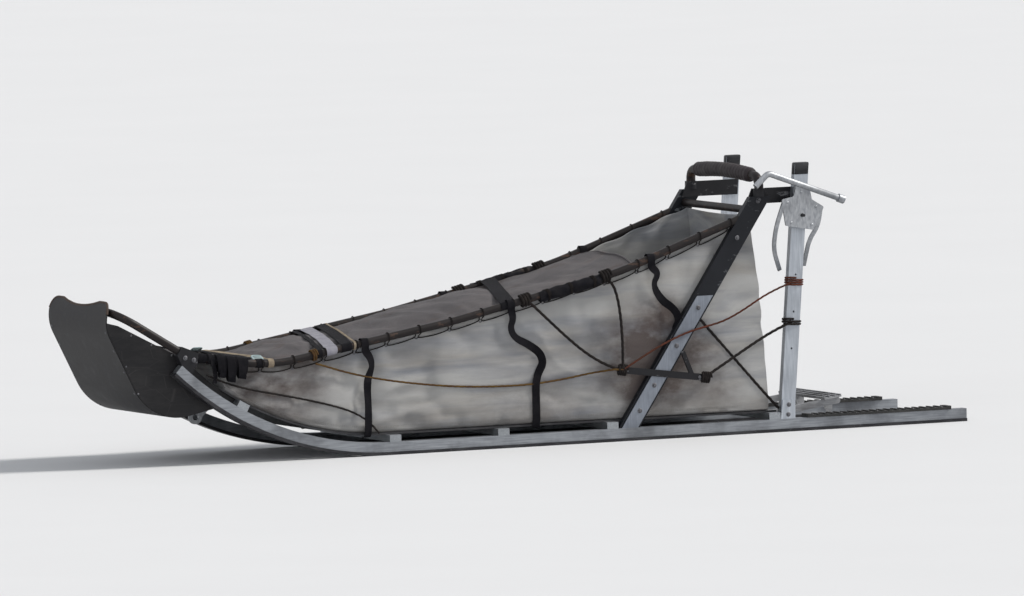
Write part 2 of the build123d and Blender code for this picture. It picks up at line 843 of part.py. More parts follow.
os.makedirs("parts", exist_ok=True)
for name, build in (
    ("runner", runner),
    ("shoe", shoe),
    ("foot_pad", foot_pad),
    ("post", post),
    ("stanchion", stanchion),
    ("stanchion_plate", stanchion_plate),
    ("foot_bracket", foot_bracket),
    ("head_bracket", head_bracket),
    ("rail", rail),
    ("bow_knuckle", bow_knuckle),
    ("bow_wing", bow_wing),
    ("lashing_bar", lashing_bar),
    ("stays", stays),
):
    write_pair(name, build())
for name, build in (
    ("crossbars", crossbars),
    ("bed_sheet", bed_sheet),
    ("handlebar", handlebar),
    ("handlebar_grip", handlebar_grip),
    ("back_crossbar", back_crossbar),
    ("brush_bow", brush_bow),
    ("bow_plate", bow_plate),
    ("bag_body", bag_body),
    ("bag_cover", bag_cover),
    ("brake_hinge", brake_hinge),
    ("brake_frame", brake_frame),
    ("brake_claws", brake_claws),
    ("hook_holder", hook_holder),
    ("snow_hook", snow_hook),
    ("tow_eye", tow_eye),
):
    write(name, build())
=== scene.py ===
import json
import math

import bmesh
import bpy
import numpy as np
from mathutils import Matrix, Vector, noise
from mathutils.bvhtree import BVHTree

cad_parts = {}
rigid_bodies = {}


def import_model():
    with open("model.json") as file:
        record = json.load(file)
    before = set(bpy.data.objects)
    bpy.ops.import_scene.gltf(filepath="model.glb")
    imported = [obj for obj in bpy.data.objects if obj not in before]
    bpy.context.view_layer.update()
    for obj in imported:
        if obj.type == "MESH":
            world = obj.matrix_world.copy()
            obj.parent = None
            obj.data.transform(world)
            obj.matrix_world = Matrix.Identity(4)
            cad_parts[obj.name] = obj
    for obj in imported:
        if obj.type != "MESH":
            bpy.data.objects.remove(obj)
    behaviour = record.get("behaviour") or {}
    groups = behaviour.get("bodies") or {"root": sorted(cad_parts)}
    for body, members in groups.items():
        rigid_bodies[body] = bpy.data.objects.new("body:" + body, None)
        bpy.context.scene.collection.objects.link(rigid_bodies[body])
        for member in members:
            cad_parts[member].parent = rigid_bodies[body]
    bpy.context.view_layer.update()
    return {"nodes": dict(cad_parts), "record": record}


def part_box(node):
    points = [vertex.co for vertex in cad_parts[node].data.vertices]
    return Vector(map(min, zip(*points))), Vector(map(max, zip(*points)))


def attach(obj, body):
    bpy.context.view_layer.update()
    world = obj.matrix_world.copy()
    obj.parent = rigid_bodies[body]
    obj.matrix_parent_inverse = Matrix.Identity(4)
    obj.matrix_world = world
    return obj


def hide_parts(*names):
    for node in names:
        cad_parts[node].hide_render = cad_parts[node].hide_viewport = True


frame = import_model()

# Sizes are in millimetres, counted along X from the feet of the rear posts, as the sled is drawn.
TAIL_X = -640.0
HALF_TRACK = 255.0
RAIL_RADIUS = 12.5
BAR_OUTER_Y = 266.0
PLATE_OUTER_Y = 271.0
LASHING_OUTER_Y = 279.0
BED_TOP = 70.0
BEND_X = 1440.0
SOLE_RADIUS = 1100.0
BED_RADIUS = SOLE_RADIUS - BED_TOP
# a leaning bar's axis: (x, z) of its foot and of its top
STANCHION = ((578.6, 42.0), (89.1, 770.0))
POST = ((8.5, 42.0), (-63.0, 871.0))
MM = 0.001
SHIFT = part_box("runner_left")[0].x - TAIL_X * MM
SIDES = {1: "left", -1: "right"}
DOWN = Vector((0, 0, -1))
BEHIND = Vector((-1, 0, 0))
ABOVE_ALL = 1500
scene = bpy.context.scene


def at(x, y, z):
    """Point of the frame for a place in the sled's own millimetres."""
    return Vector((x * MM + SHIFT, y * MM, z * MM))


def in_frame(places):
    """The same for an array of places."""
    return np.asarray(places, float) * MM + np.array([SHIFT, 0, 0])


def smooth_step(value, low, high):
    share = np.clip((value - low) / (high - low), 0, 1)
    return share * share * (3 - 2 * share)


def softened(values, rounds):
    """Rows of values, each eased towards its neighbours, with the ends kept."""
    for _ in range(rounds):
        values[1:-1] = (values[:-2] + values[1:-1] * 2 + values[2:]) / 4
    return values


def on_line(bar, z):
    """X of a leaning bar's axis at this height."""
    (foot_x, foot_z), (top_x, top_z) = bar
    return foot_x + (top_x - foot_x) * (z - foot_z) / (top_z - foot_z)


def cloud(x, y, z, seed):
    return noise.noise(Vector((x, y, z + seed * 17.3)))


# Surfaces of the frame, found with rays


def surface(piece):
    """Ray-casting tree over an object's shown mesh."""
    mesh = piece.evaluated_get(bpy.context.evaluated_depsgraph_get()).to_mesh()
    places = [piece.matrix_world @ v.co for v in mesh.vertices]
    return BVHTree.FromPolygons(places, [tuple(face.vertices) for face in mesh.polygons])


def node_surface(name):
    return surface(frame["nodes"][name])


def middle_height(tree, x, y):
    """Height of a bar's axis where it passes this place, from its top and its underside."""
    top = tree.ray_cast(at(x, y, ABOVE_ALL), DOWN)[0]
    under = tree.ray_cast(at(x, y, -100), -DOWN)[0]
    return (top.z + under.z) / 2 / MM


RAIL_X = np.linspace(190, 2094, 161)
rail_tree = node_surface("rail_left")
RAIL_Z = np.array([middle_height(rail_tree, x, HALF_TRACK) for x in RAIL_X])


def rail_z(x):
    """Height of the side rails' axes, carried on straight past their ends."""
    x = np.asarray(x, float)
    rear = (RAIL_Z[8] - RAIL_Z[0]) / (RAIL_X[8] - RAIL_X[0])
    front = (RAIL_Z[-1] - RAIL_Z[-9]) / (RAIL_X[-1] - RAIL_X[-9])
    past = rear * np.minimum(x - RAIL_X[0], 0), front * np.maximum(x - RAIL_X[-1], 0)
    return np.interp(x, RAIL_X, RAIL_Z) + past[0] + past[1]


def rail_slope(x):
    return (rail_z(x + 5) - rail_z(x - 5)) / 10


def floor_z(x):
    """Top of the bed sheet, which is flat up to the bend of the runners."""
    ahead = np.clip(np.asarray(x, float) - BEND_X, 0, BED_RADIUS * 0.9)
    return SOLE_RADIUS - np.sqrt(BED_RADIUS**2 - ahead**2)


# Shapes: each is its points in the frame and its faces


def linked(name, data):
    made = bpy.data.objects.new(name, data)
    scene.collection.objects.link(made)
    return made


def piece(name, shapes, look, side=0, body="sled", slot=None, weld=0.000005):
    """One object of all these shapes. The side that it is on is added to its name."""
    points, faces = [], []
    for places, polygons in shapes:
        base = len(points)
        points += [tuple(place) for place in places]
        faces += [tuple(base + i for i in polygon) for polygon in polygons]
    if side:
        name = f"{name}_{SIDES[side]}"
    mesh = bpy.data.meshes.new(name)
    mesh.from_pydata(points, [], faces)
    work = bmesh.new()
    work.from_mesh(mesh)
    bmesh.ops.remove_doubles(work, verts=work.verts, dist=weld)
    bmesh.ops.recalc_face_normals(work, faces=work.faces)
    work.to_mesh(mesh)
    work.free()
    mesh.materials.append(looks[look])
    mesh.shade_smooth()
    mesh.set_sharp_from_angle(angle=math.radians(48))
    made = linked(name, mesh)
    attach(made, body)
    return made


def thicken(cloth, thickness):
    solid = cloth.modifiers.new("cloth", "SOLIDIFY")
    solid.thickness = thickness
    solid.offset = 0


def grid_faces(rows, columns, closed=False):
    """Quads over a grid of vertices kept row by row; closed joins the last column to the first."""
    faces = []
    for row in range(rows - 1):
        for column in range(columns if closed else columns - 1):
            a, b = row * columns + column, row * columns + (column + 1) % columns
            faces.append((a, b, b + columns, a + columns))
    return faces


def cloth_shape(grid):
    return in_frame(grid.reshape(-1, 3)), grid_faces(*grid.shape[:2])


def tube(rings):
    """Skin over rings of points, closed at both ends."""
    count, ring = rings.shape[:2]
    ends = [tuple(range(ring))[::-1], tuple(range((count - 1) * ring, count * ring))]
    return rings.reshape(-1, 3), grid_faces(count, ring, closed=True) + ends


def unit(vectors):
    return vectors / np.linalg.norm(vectors, axis=1)[:, None]


def directions(path, up):
    """Direction of a path at each point, with an upward and a sideways one that don't twist."""
    along = unit(np.gradient(path, axis=0))
    ups = []
    current = np.array(up, float)
    for direction in along:
        current = current - direction * (current @ direction)
        current /= np.linalg.norm(current)
        ups.append(current)
    return along, np.array(ups), np.cross(along, ups)


def carried(path, section, sides, ups):
    """Ring of (side, up) places in metres, or one ring for each point, carried along a path."""
    section = np.broadcast_to(section, (len(path), *np.shape(section)[-2:]))
    return tube(path[:, None] + section[..., :1] * sides[:, None] + section[..., 1:] * ups[:, None])


def swept(path, section, up=(0, 0, 1), turn=0.0):
    """Section carried along a path without twisting, or turned by one angle for each point."""
    _, ups, sides = directions(path, up)
    turn = np.reshape(np.broadcast_to(turn, len(path)), (-1, 1))
    cos, sin = np.cos(turn), np.sin(turn)
    return carried(path, section, sides * cos + ups * sin, ups * cos - sides * sin)


def laid_strap(path, width, thickness, across):
    """Band along a path whose width runs in these directions, one for each point."""
    along = unit(np.gradient(path, axis=0))
    sides = unit(across - along * (across * along).sum(1)[:, None])
    return carried(path, strap_section(width, thickness), sides, np.cross(sides, along))


def steps_round(sides, phase=0.0):
    return phase + np.arange(sides) * 2 * math.pi / sides


def circle(radius, sides, phase=0.0):
    """Ring with one radius, or with one for each angle."""
    angles = steps_round(sides, phase)
    return np.stack([np.cos(angles), np.sin(angles)], 1) * np.asarray(radius)[..., None]


def rounded_box(angles, half_x, half_y, power):
    """Places at these angles on an oblong with rounded corners, of these half sizes."""
    cos, sin = np.cos(angles), np.sin(angles)
    shape = (np.abs(cos) ** power + np.abs(sin) ** power) ** (-1 / power)
    return np.stack([cos * shape * half_x, sin * shape * half_y], 1)


def length_along(path):
    steps = np.linalg.norm(np.diff(path, axis=0), axis=1)
    return np.concatenate([[0], np.cumsum(steps)])


def rope(path, radius, lay=0.022, sides=14):
    """Laid rope: a round section with a hollow between its three strands, which wind along it."""
    wound = length_along(path)[:, None] * 2 * math.pi / lay
    size = radius * (0.93 + 0.1 * np.cos(3 * steps_round(sides) - wound))
    return swept(path, circle(size, sides))


def strap_section(width, thickness):
    """Flat webbing with a thicker woven edge: (across, through)."""
    half, through = width / 2, thickness / 2
    edge, inner = through * 0.9, min(width * 0.14, 0.003)
    lower = [
        (-half, 0), (-half + edge, -through), (-half + inner, -through * 0.72),
        (half - inner, -through * 0.72), (half - edge, -through),
    ]
    return np.array(lower + [(-across, -up) for across, up in lower])


def routed(points, step=0.0025):
    """Points along the NURBS line that has these control points."""
    curve = bpy.data.curves.new("route", "CURVE")
    curve.dimensions = "3D"
    spline = curve.splines.new("NURBS")
    spline.points.add(len(points) - 1)
    for target, point in zip(spline.points, points):
        target.co = (*point, 1)
    spline.order_u = 3
    spline.use_endpoint_u = True
    longest = max((Vector(b) - Vector(a)).length for a, b in zip(points, points[1:]))
    spline.resolution_u = max(3, math.ceil(longest / step))
    holder = bpy.data.objects.new("route", curve)
    mesh = bpy.data.meshes.new_from_object(holder)
    line = np.array([v.co for v in mesh.vertices], float)
    bpy.data.batch_remove([holder, mesh, curve])
    apart = np.linalg.norm(np.diff(line, axis=0), axis=1) > 1e-6
    return line[np.concatenate([[True], apart])]


def turned(profile, place, axis, sides=20, phase=0.0):
    """Profile of (radius, height) turned about an axis through a place."""
    normal = Vector(axis).normalized()
    across = normal.orthogonal().normalized()
    plane = np.array([across, normal.cross(across)])
    rings = [
        np.array(place) + np.array(normal) * height + circle(radius, sides, phase) @ plane
        for radius, height in profile
    ]
    return np.array(rings).reshape(-1, 3), grid_faces(len(rings), sides, closed=True)


def bolt(place, axis, radius=0.0055, phase=0.3):
    """Hexagon head with a chamfered top, on its washer."""
    wide, thick, edge, top = radius * 1.55, 0.0012, 0.00036, radius * 1.05
    washer = [(0, 0), (wide, 0), (wide, thick - edge), (wide - edge, thick), (0, thick)]
    head = [(0, 0.001), (radius, 0.001), (radius, top * 0.85), (radius * 0.88, top), (0, top)]
    return [turned(washer, place, axis), turned(head, place, axis, sides=6, phase=phase)]


def rivet(place, axis, radius=0.004):
    """Domed head."""
    rings = [(radius * math.cos(a), radius * 0.55 * math.sin(a)) for a in (0, 0.4, 0.8, 1.2)]
    return [turned([(0, -0.0005)] + rings + [(0, radius * 0.55)], place, axis, sides=14)]


def heads(tree, starts, direction, head, radius):
    """Rivets or bolts where rays from these places meet a surface."""
    shapes = []
    for start in starts:
        hit, normal = tree.ray_cast(at(*start), Vector(direction))[:2]
        if hit:
            shapes += head(hit, normal, radius)
    return shapes


STITCH_LENGTH, STITCH_GAP, STITCH_WIDTH, STITCH_HEIGHT = 0.0042, 0.0022, 0.0011, 0.0007
STITCH_FACES = (
    (0, 1, 4), (1, 2, 4), (2, 3, 4), (3, 0, 4), (1, 0, 5), (2, 1, 5), (3, 2, 5), (0, 3, 5),
)


def stitch_row(path, outward):
    """Stitches lying along a path, each a small lens with pointed ends."""
    along, ups, sides = directions(path, outward)
    reach = length_along(path)
    pitch = STITCH_LENGTH + STITCH_GAP
    shapes = []
    for i in range(int(reach[-1] / pitch)):
        k = min(int(np.searchsorted(reach, (i + 0.5) * pitch)), len(path) - 1)
        here, up = path[k], ups[k] * STITCH_HEIGHT
        run, side = along[k] * STITCH_LENGTH / 2, sides[k] * STITCH_WIDTH / 2
        corners = [here - run, here + side, here + run, here - side, here + up, here - up * 0.4]
        shapes.append((corners, STITCH_FACES))
    return shapes


# Materials


def add_node(tree, kind, inputs=(), output=0, **settings):
    """Adds a node with these values or links in its sockets, and gives one of its outputs."""
    made = tree.nodes.new(f"ShaderNode{kind}")
    for name, value in settings.items():
        setattr(made, name, value)
    for key, value in dict(inputs).items():
        if isinstance(value, bpy.types.NodeSocket):
            tree.links.new(value, made.inputs[key])
        else:
            made.inputs[key].default_value = value
    return made.outputs[output]


def tinted(color, factor, more=0.0):
    return tuple(c * factor + more for c in color)


class Finish:
    """A material in the making: its shader and short ways to add nodes."""

    def __init__(self, name, color, roughness, **sockets):
        self.material = bpy.data.materials.new(name)
        self.material.use_nodes = True
        self.tree = self.material.node_tree
        self.shader = self.tree.nodes["Principled BSDF"].inputs
        self.shader["Base Color"].default_value = (*color, 1)
        self.shader["Roughness"].default_value = roughness
        for socket, value in sockets.items():
            self.shader[socket.replace("_", " ")].default_value = value
        self.place = self.node("TexCoord", output="Object")
        self.height = None

    def node(self, *values, **settings):
        return add_node(self.tree, *values, **settings)

    def noise(self, scale, stretch=(1, 1, 1), detail=4.0, roughness=0.55, distortion=0.0):
        place = self.node("Mapping", {0: self.place, 3: stretch})
        inputs = {
            "Vector": place, "Scale": scale, "Detail": detail, "Roughness": roughness,
            "Distortion": distortion,
        }
        return self.node("TexNoise", inputs, "Fac")

    def edges(self, scale, stretch):
        """Distance to the edges of cells, for scratches."""
        place = self.node("Mapping", {0: self.place, 3: stretch})
        inputs = {"Vector": place, "Scale": scale}
        return self.node("TexVoronoi", inputs, "Distance", feature="DISTANCE_TO_EDGE")

    def ramp(self, value, *stops):
        """Level for a value, by (place, level) stops."""
        made = self.node("ValToRGB", {"Fac": value})
        for element, (place, level) in zip(made.node.color_ramp.elements, stops):
            element.position = place
            element.color = (level, level, level, 1)
        return made

    def sums(self, operation, first, second=0.0):
        return self.node("Math", {0: first, 1: second}, operation=operation)

    def mix(self, share, first, second):
        """The second colour over the first one, each a colour or a socket."""
        first, second = ((*c, 1) if isinstance(c, tuple) else c for c in (first, second))
        return self.node("Mix", {0: share, 6: first, 7: second}, 2, data_type="RGBA")

    def coordinate(self, axis):
        return self.node("SeparateXYZ", {0: self.place}, axis)

    def near(self, x, y, z, reach):
        """1 at a place of the sled, falling to 0 at this reach, in millimetres."""
        inputs = {0: self.place, 1: at(x, y, z)}
        away = self.node("VectorMath", inputs, "Value", operation="DISTANCE")
        share = self.sums("DIVIDE", away, reach * MM)
        return self.sums("MAXIMUM", self.sums("SUBTRACT", 1.0, share), 0.0)

    def weave(self, period):
        """Threads that cross, this far apart, on any face."""
        rate = 2 * math.pi / period
        waves = [
            self.sums("SINE", self.sums("MULTIPLY", self.coordinate(i), rate)) for i in range(3)
        ]
        crossings = [self.sums("MULTIPLY", waves[a], waves[b]) for a, b in ((0, 1), (1, 2), (0, 2))]
        return self.sums("ADD", self.sums("ADD", crossings[0], crossings[1]), crossings[2])

    def color(self, value):
        self.tree.links.new(value, self.shader["Base Color"])

    def roughness(self, value, low, high):
        made = self.node("MapRange", {0: value, 3: low, 4: high})
        self.tree.links.new(made, self.shader["Roughness"])

    def bump(self, value, depth, strength=1.0):
        """Relief of this depth in metres, over the relief added before."""
        inputs = {"Height": value, "Distance": depth, "Strength": strength}
        if self.height:
            inputs["Normal"] = self.height
        self.height = self.node("Bump", inputs)
        self.tree.links.new(self.height, self.shader["Normal"])
        return self


def brushed_metal(name, light, dark, streak, roughness, grime):
    """Bare metal with drawn streaks, scratches and grime in patches."""
    made = Finish(name, light, roughness, Metallic=1.0)
    streaks = made.noise(240, streak, detail=6)
    tint = made.mix(made.ramp(streaks, (0.3, 0.0), (0.75, 1.0)), dark, light)
    dull = made.ramp(made.noise(7, detail=5), (0.45, 0.0), (0.72, grime))
    made.color(made.mix(dull, tint, tinted(dark, 0.45)))
    made.roughness(made.sums("ADD", streaks, dull), roughness * 0.75, roughness * 1.5)
    scratches = made.ramp(made.edges(60, (1, 1, 0.12)), (0.0, 0.0), (0.012, 1.0))
    return made.bump(streaks, 0.00006).bump(scratches, 0.00004)


def worn_paint(name, color, wear_and_sheen, roughness, spots=0.62):
    """Satin paint with fine orange peel, dust and spots where it has rubbed through; on the rails their
    brown is also a painted sheen.
    """
    made = Finish(name, color, roughness, Specular_IOR_Level=0.2)
    chips = made.noise(46, (0.35, 1, 1), detail=8, roughness=0.7)
    chips = made.ramp(chips, (spots, 0.0), (spots + 0.05, 0.8))
    dust = made.ramp(made.noise(9, detail=5), (0.4, 0.0), (0.75, 0.35))
    made.color(made.mix(chips, made.mix(dust, color, tinted(color, 1.6, 0.003)), wear_and_sheen))
    made.roughness(made.noise(18, detail=5), roughness * 0.75, roughness * 1.35)
    return made.bump(made.noise(900, detail=2), 0.00002).bump(chips, 0.0001, 0.6)


def moulded_plastic(name, color, pale, roughness):
    """Plastic with a fine grain, scuffs along the sled and pale scratches."""
    made = Finish(name, color, roughness, Specular_IOR_Level=0.25)
    scuffs = made.noise(26, (0.35, 1, 1), detail=7, roughness=0.65)
    lines = made.edges(34, (0.2, 1, 1))
    hazed = made.mix(made.ramp(scuffs, (0.45, 0.0), (0.8, 0.55)), color, pale)
    made.color(made.mix(made.ramp(lines, (0.0, 0.6), (0.01, 0.0)), hazed, pale))
    made.roughness(scuffs, roughness * 0.8, roughness * 1.35)
    return made.bump(made.noise(700, detail=2), 0.00004).bump(lines, 0.0001, 0.3)


def soft_rubber(name, color):
    made = Finish(name, color, 0.7, Specular_IOR_Level=0.3)
    marks = made.noise(30, (0.4, 1, 1), detail=7, roughness=0.65)
    made.color(made.mix(made.ramp(marks, (0.5, 0.0), (0.8, 0.5)), color, (0.12, 0.115, 0.11)))
    made.roughness(marks, 0.55, 0.85)
    return made.bump(made.noise(500, detail=3), 0.0001)


def woven(name, color, other, period, roughness=0.8):
    """Webbing or tape: a plain weave with uneven colour and a soft nap."""
    sockets = {"Specular_IOR_Level": 0.07, "Sheen_Weight": 0.01, "Sheen_Roughness": 0.5}
    made = Finish(name, color, roughness, **sockets)
    patches = made.noise(34, detail=6, roughness=0.65)
    made.color(made.mix(made.ramp(patches, (0.35, 0.0), (0.7, 1.0)), color, other))
    made.roughness(patches, roughness * 0.85, min(1.0, roughness * 1.15))
    return made.bump(made.weave(period), 0.00025).bump(patches, 0.0004, 0.5)


# stains on the canvas, darkest by the stanchions, where they also paint the stanchions' shadow: place,
# reach and strength
STAINS_AND_SHADOW = (
    (500, 235, 250, 240, 1.25), (440, 235, 390, 120, 0.75), (250, 235, 190, 130, 0.6),
    (330, 235, 300, 120, 0.8), (900, 235, 120, 260, 0.35), (1860, 235, 230, 260, 0.75),
    (1690, 235, 300, 170, 0.5), (1950, -235, 240, 240, 0.7), (480, -235, 240, 230, 0.8),
)


def stained_canvas(name, pale, warm, painted_shade_blue):
    """Off-white coated canvas: dust, faint damp bands, bluish streaks of painted shade, and brown stains
    by the stanchions, which there also paint their shadow.
    """
    sockets = {"Specular_IOR_Level": 0.3, "Sheen_Weight": 0.08, "Sheen_Roughness": 0.6}
    made = Finish(name, pale, 0.74, **sockets)
    bands = made.noise(3.2, (0.55, 1, 3.4), detail=5, roughness=0.5, distortion=0.4)
    clouds = made.noise(6.4, (0.3, 1, 2.2), detail=6, roughness=0.55, distortion=0.5)
    tone = made.mix(made.ramp(bands, (0.45, 0.0), (0.7, 0.7)), pale, warm)
    # bluish streaks along the sled: painted shade, standing in for the shade in the canvas's folds
    tone = made.mix(made.ramp(clouds, (0.47, 0.0), (0.74, 0.7)), tone, painted_shade_blue)
    grime = made.noise(14, (0.6, 1, 1), detail=8, roughness=0.62)
    for x, y, z, reach, level in STAINS_AND_SHADOW:
        spot = made.sums("MULTIPLY", made.near(x, y, z, reach), level * 1.9)
        share = made.sums("MULTIPLY", spot, made.ramp(grime, (0.3, 0.15), (0.7, 1.0)))
        # dark brown of the stains, which by the stanchions is also their painted shadow
        tone = made.mix(made.sums("MINIMUM", share, 0.9), tone, (0.055, 0.038, 0.034))
    low = made.node("MapRange", {0: made.coordinate(2), 1: 0.15, 2: 0.07})
    soil = made.sums("MULTIPLY", low, made.ramp(grime, (0.35, 0.2), (0.65, 0.75)))
    made.color(made.mix(soil, tone, (0.15, 0.137, 0.125)))
    made.roughness(clouds, 0.62, 0.85)
    creases = made.noise(11, (0.7, 1, 2.2), detail=7, roughness=0.6, distortion=0.8)
    return made.bump(made.weave(0.0016), 0.00012).bump(creases, 0.0035, 0.55)


def faded_cloth(name, base, pale, brown):
    """Grey-brown woven cover, paler in patches where it has faded."""
    sockets = {"Specular_IOR_Level": 0.25, "Sheen_Weight": 0.08, "Sheen_Roughness": 0.5}
    made = Finish(name, base, 0.8, **sockets)
    clouds = made.noise(8, (0.5, 1, 1), detail=7, roughness=0.6)
    tone = made.mix(made.ramp(clouds, (0.4, 0.0), (0.72, 1.0)), base, pale)
    rust = made.noise(17, (0.4, 1, 1), detail=5)
    tone = made.mix(made.ramp(rust, (0.55, 0.0), (0.8, 0.8)), tone, brown)
    dust = made.noise(160, detail=6, roughness=0.7)
    made.color(made.mix(made.ramp(dust, (0.66, 0.0), (0.74, 0.4)), tone, (0.34, 0.32, 0.3)))
    made.roughness(clouds, 0.65, 0.9)
    creases = made.noise(22, (1.6, 0.6, 1), detail=6, distortion=0.6)
    return made.bump(made.weave(0.0022), 0.00025).bump(creases, 0.003, 0.55)


def plain_floor(name, color, low, high):
    made = Finish(name, color, 0.9)
    made.color(made.mix(made.noise(1.4, detail=3), low, high))
    return made


UPRIGHT, LENGTHWISE, CROSSWISE = (1, 1, 0.05), (0.05, 1, 1), (1, 0.05, 1)
LOOKS = {
    brushed_metal: {
        "alloy": ((0.5, 0.53, 0.57), (0.33, 0.355, 0.39), UPRIGHT, 0.42, 0.4),
        # darker, bluer copy of the alloy for the stanchion plates: painted shade
        "plate_alloy": ((0.28, 0.305, 0.345), (0.18, 0.197, 0.23), UPRIGHT, 0.46, 0.6),
        "runner_alloy": ((0.36, 0.38, 0.4), (0.2, 0.21, 0.23), LENGTHWISE, 0.45, 0.7),
        "crossbar_alloy": ((0.38, 0.4, 0.42), (0.25, 0.265, 0.28), CROSSWISE, 0.45, 0.7),
        "hook_steel": ((0.45, 0.465, 0.48), (0.25, 0.26, 0.28), (0.6, 1, 0.2), 0.45, 0.6),
        "brake_steel": ((0.42, 0.43, 0.44), (0.24, 0.24, 0.25), (0.1, 1, 1), 0.48, 0.75),
        "bolt_steel": ((0.2, 0.2, 0.21), (0.09, 0.09, 0.1), (1, 1, 1), 0.45, 0.6),
    },
    worn_paint: {
        "stanchion_paint": ((0.008, 0.009, 0.012), (0.16, 0.17, 0.18), 0.42),
        "bracket_paint": ((0.012, 0.012, 0.014), (0.2, 0.2, 0.21), 0.45, 0.6),
        # brown chips on the rails: wear, and a painted sheen of the rails' lit edges
        "rail_paint": ((0.012, 0.0095, 0.0095), (0.06, 0.036, 0.026), 0.42, 0.56),
    },
    moulded_plastic: {
        "scoop_plastic": ((0.013, 0.0126, 0.0138), (0.044, 0.041, 0.041), 0.5),
        "bed_plastic": ((0.028, 0.028, 0.031), (0.11, 0.11, 0.115), 0.45),
        "shoe_plastic": ((0.016, 0.016, 0.019), (0.09, 0.09, 0.095), 0.4),
        "buckle_plastic": ((0.3, 0.39, 0.4), (0.5, 0.54, 0.54), 0.4),
    },
    soft_rubber: {
        "pad_rubber": ((0.022, 0.022, 0.022),),
        "grip_tape": ((0.024, 0.018, 0.02),),
        # brown of the scoop's edging: painted highlight
        "trim_rubber": ((0.05, 0.032, 0.024),),
    },
    woven: {
        "webbing": ((0.006, 0.006, 0.008), (0.014, 0.013, 0.0155), 0.0022),
        "cream_webbing": ((0.36, 0.3, 0.22), (0.2, 0.16, 0.12), 0.0022),
        "white_webbing": ((0.36, 0.355, 0.39), (0.24, 0.235, 0.28), 0.0022),
        "dark_cord": ((0.011, 0.01, 0.0105), (0.028, 0.023, 0.021), 0.003, 0.75),
        "brown_cord": ((0.07, 0.036, 0.02), (0.13, 0.08, 0.025), 0.003, 0.75),
        "red_cord": ((0.11, 0.034, 0.022), (0.055, 0.026, 0.018), 0.003, 0.75),
        "sleeve_cloth": ((0.007, 0.007, 0.01), (0.018, 0.017, 0.019), 0.0016),
        "thread": ((0.2, 0.185, 0.165), (0.12, 0.11, 0.1), 0.001, 0.8),
    },
    stained_canvas: {
        "canvas": ((0.37, 0.367, 0.362), (0.24, 0.217, 0.187), (0.125, 0.142, 0.182)),
    },
    faded_cloth: {
        "cover_cloth": ((0.062, 0.056, 0.06), (0.125, 0.113, 0.115), (0.06, 0.036, 0.027)),
    },
    plain_floor: {
        "floor": ((0.7, 0.705, 0.72), (0.685, 0.69, 0.705), (0.71, 0.715, 0.73)),
    },
}
looks = {
    name: make(name, *values).material
    for make, table in LOOKS.items() for name, values in table.items()
}

# the record's slots and nodes whose look has another name than the slot
OTHER_NAMES = {
    "post_alloy": "alloy", "stanchion_black": "stanchion_paint", "bracket_black": "bracket_paint",
    "rail_black": "rail_paint", "grip_foam": "grip_tape", "bag_canvas": "canvas",
    "cover_canvas": "cover_cloth", "cord_dark": "dark_cord", "stanchion_plate_left": "plate_alloy",
    "stanchion_plate_right": "plate_alloy",
}
for part in frame["record"]["subparts"]:
    node, slot = part["node"], part["material_slot"]
    for holder in frame["nodes"][node].material_slots:
        holder.material = looks[OTHER_NAMES.get(node) or OTHER_NAMES.get(slot, slot)]


# Cloth simulation

CLOTH_STIFFNESS = 30.0


def hang(cloth, held, spare, frames, gravity, bending):
    """Where each vertex is, in metres, once the cloth has hung by the vertices that held names."""
    cloth.vertex_groups.new(name="held").add([int(i) for i in np.nonzero(held)[0]], 1.0, "REPLACE")
    hanging = cloth.modifiers.new("hang", "CLOTH")
    for setting, value in {
        "vertex_group_mass": "held", "quality": 6, "mass": 0.4, "shrink_min": -spare,
        "tension_stiffness": CLOTH_STIFFNESS, "compression_stiffness": CLOTH_STIFFNESS,
        "shear_stiffness": CLOTH_STIFFNESS * 0.4, "bending_stiffness": bending,
    }.items():
        setattr(hanging.settings, setting, value)
    hanging.settings.effector_weights.gravity = gravity
    hanging.collision_settings.use_collision = False
    hanging.point_cache.frame_start = 1
    hanging.point_cache.frame_end = frames
    for frame_number in range(1, frames + 1):
        scene.frame_set(frame_number)
    shown = cloth.evaluated_get(bpy.context.evaluated_depsgraph_get()).data
    return np.array([v.co for v in shown.vertices], float)


def hung_grid(grid, columns, rows, held, reach, **how):
    """The grid of places after its cloth has hung. A coarser grid of these columns and rows is
    simulated, so that its folds are broad, and its moves, in metres no longer than reach, are
    carried smoothly to the finer one. spare is the share that the cloth is larger by."""
    coarse = grid[np.ix_(columns, rows)]
    places, faces = cloth_shape(coarse)
    mesh = bpy.data.meshes.new("coarse")
    mesh.from_pydata(places.tolist(), [], faces)
    cloth = linked("coarse", mesh)
    start = np.array([v.co for v in mesh.vertices], float)
    move = hang(cloth, held(coarse.reshape(-1, 3)), **how) - start
    bpy.data.batch_remove([cloth, mesh])
    scene.frame_set(1)
    far = np.maximum(np.linalg.norm(move, axis=1)[:, None], 1e-9)
    moves = (move / far * np.tanh(far / reach) * reach).reshape(coarse.shape) / MM
    for axis, (kept, count) in enumerate(((columns, grid.shape[0]), (rows, grid.shape[1]))):
        moves = np.apply_along_axis(lambda line: np.interp(np.arange(count), kept, line), axis, moves)
        for _ in range(int(np.median(np.diff(kept)))):
            padded = np.pad(moves, [(1, 1) if i == axis else (0, 0) for i in range(3)], mode="edge")
            shifted = [np.take(padded, np.arange(k, k + count), axis=axis) for k in range(3)]
            moves = (shifted[0] + 2 * shifted[1] + shifted[2]) / 4
    return grid + moves


# Canvas bag. It is one cloth: both sides and the floor in one grid, with its rear and front walls
# welded on, hung from the rails at eyelets.

BAG_HALF_WIDTH = 235.0
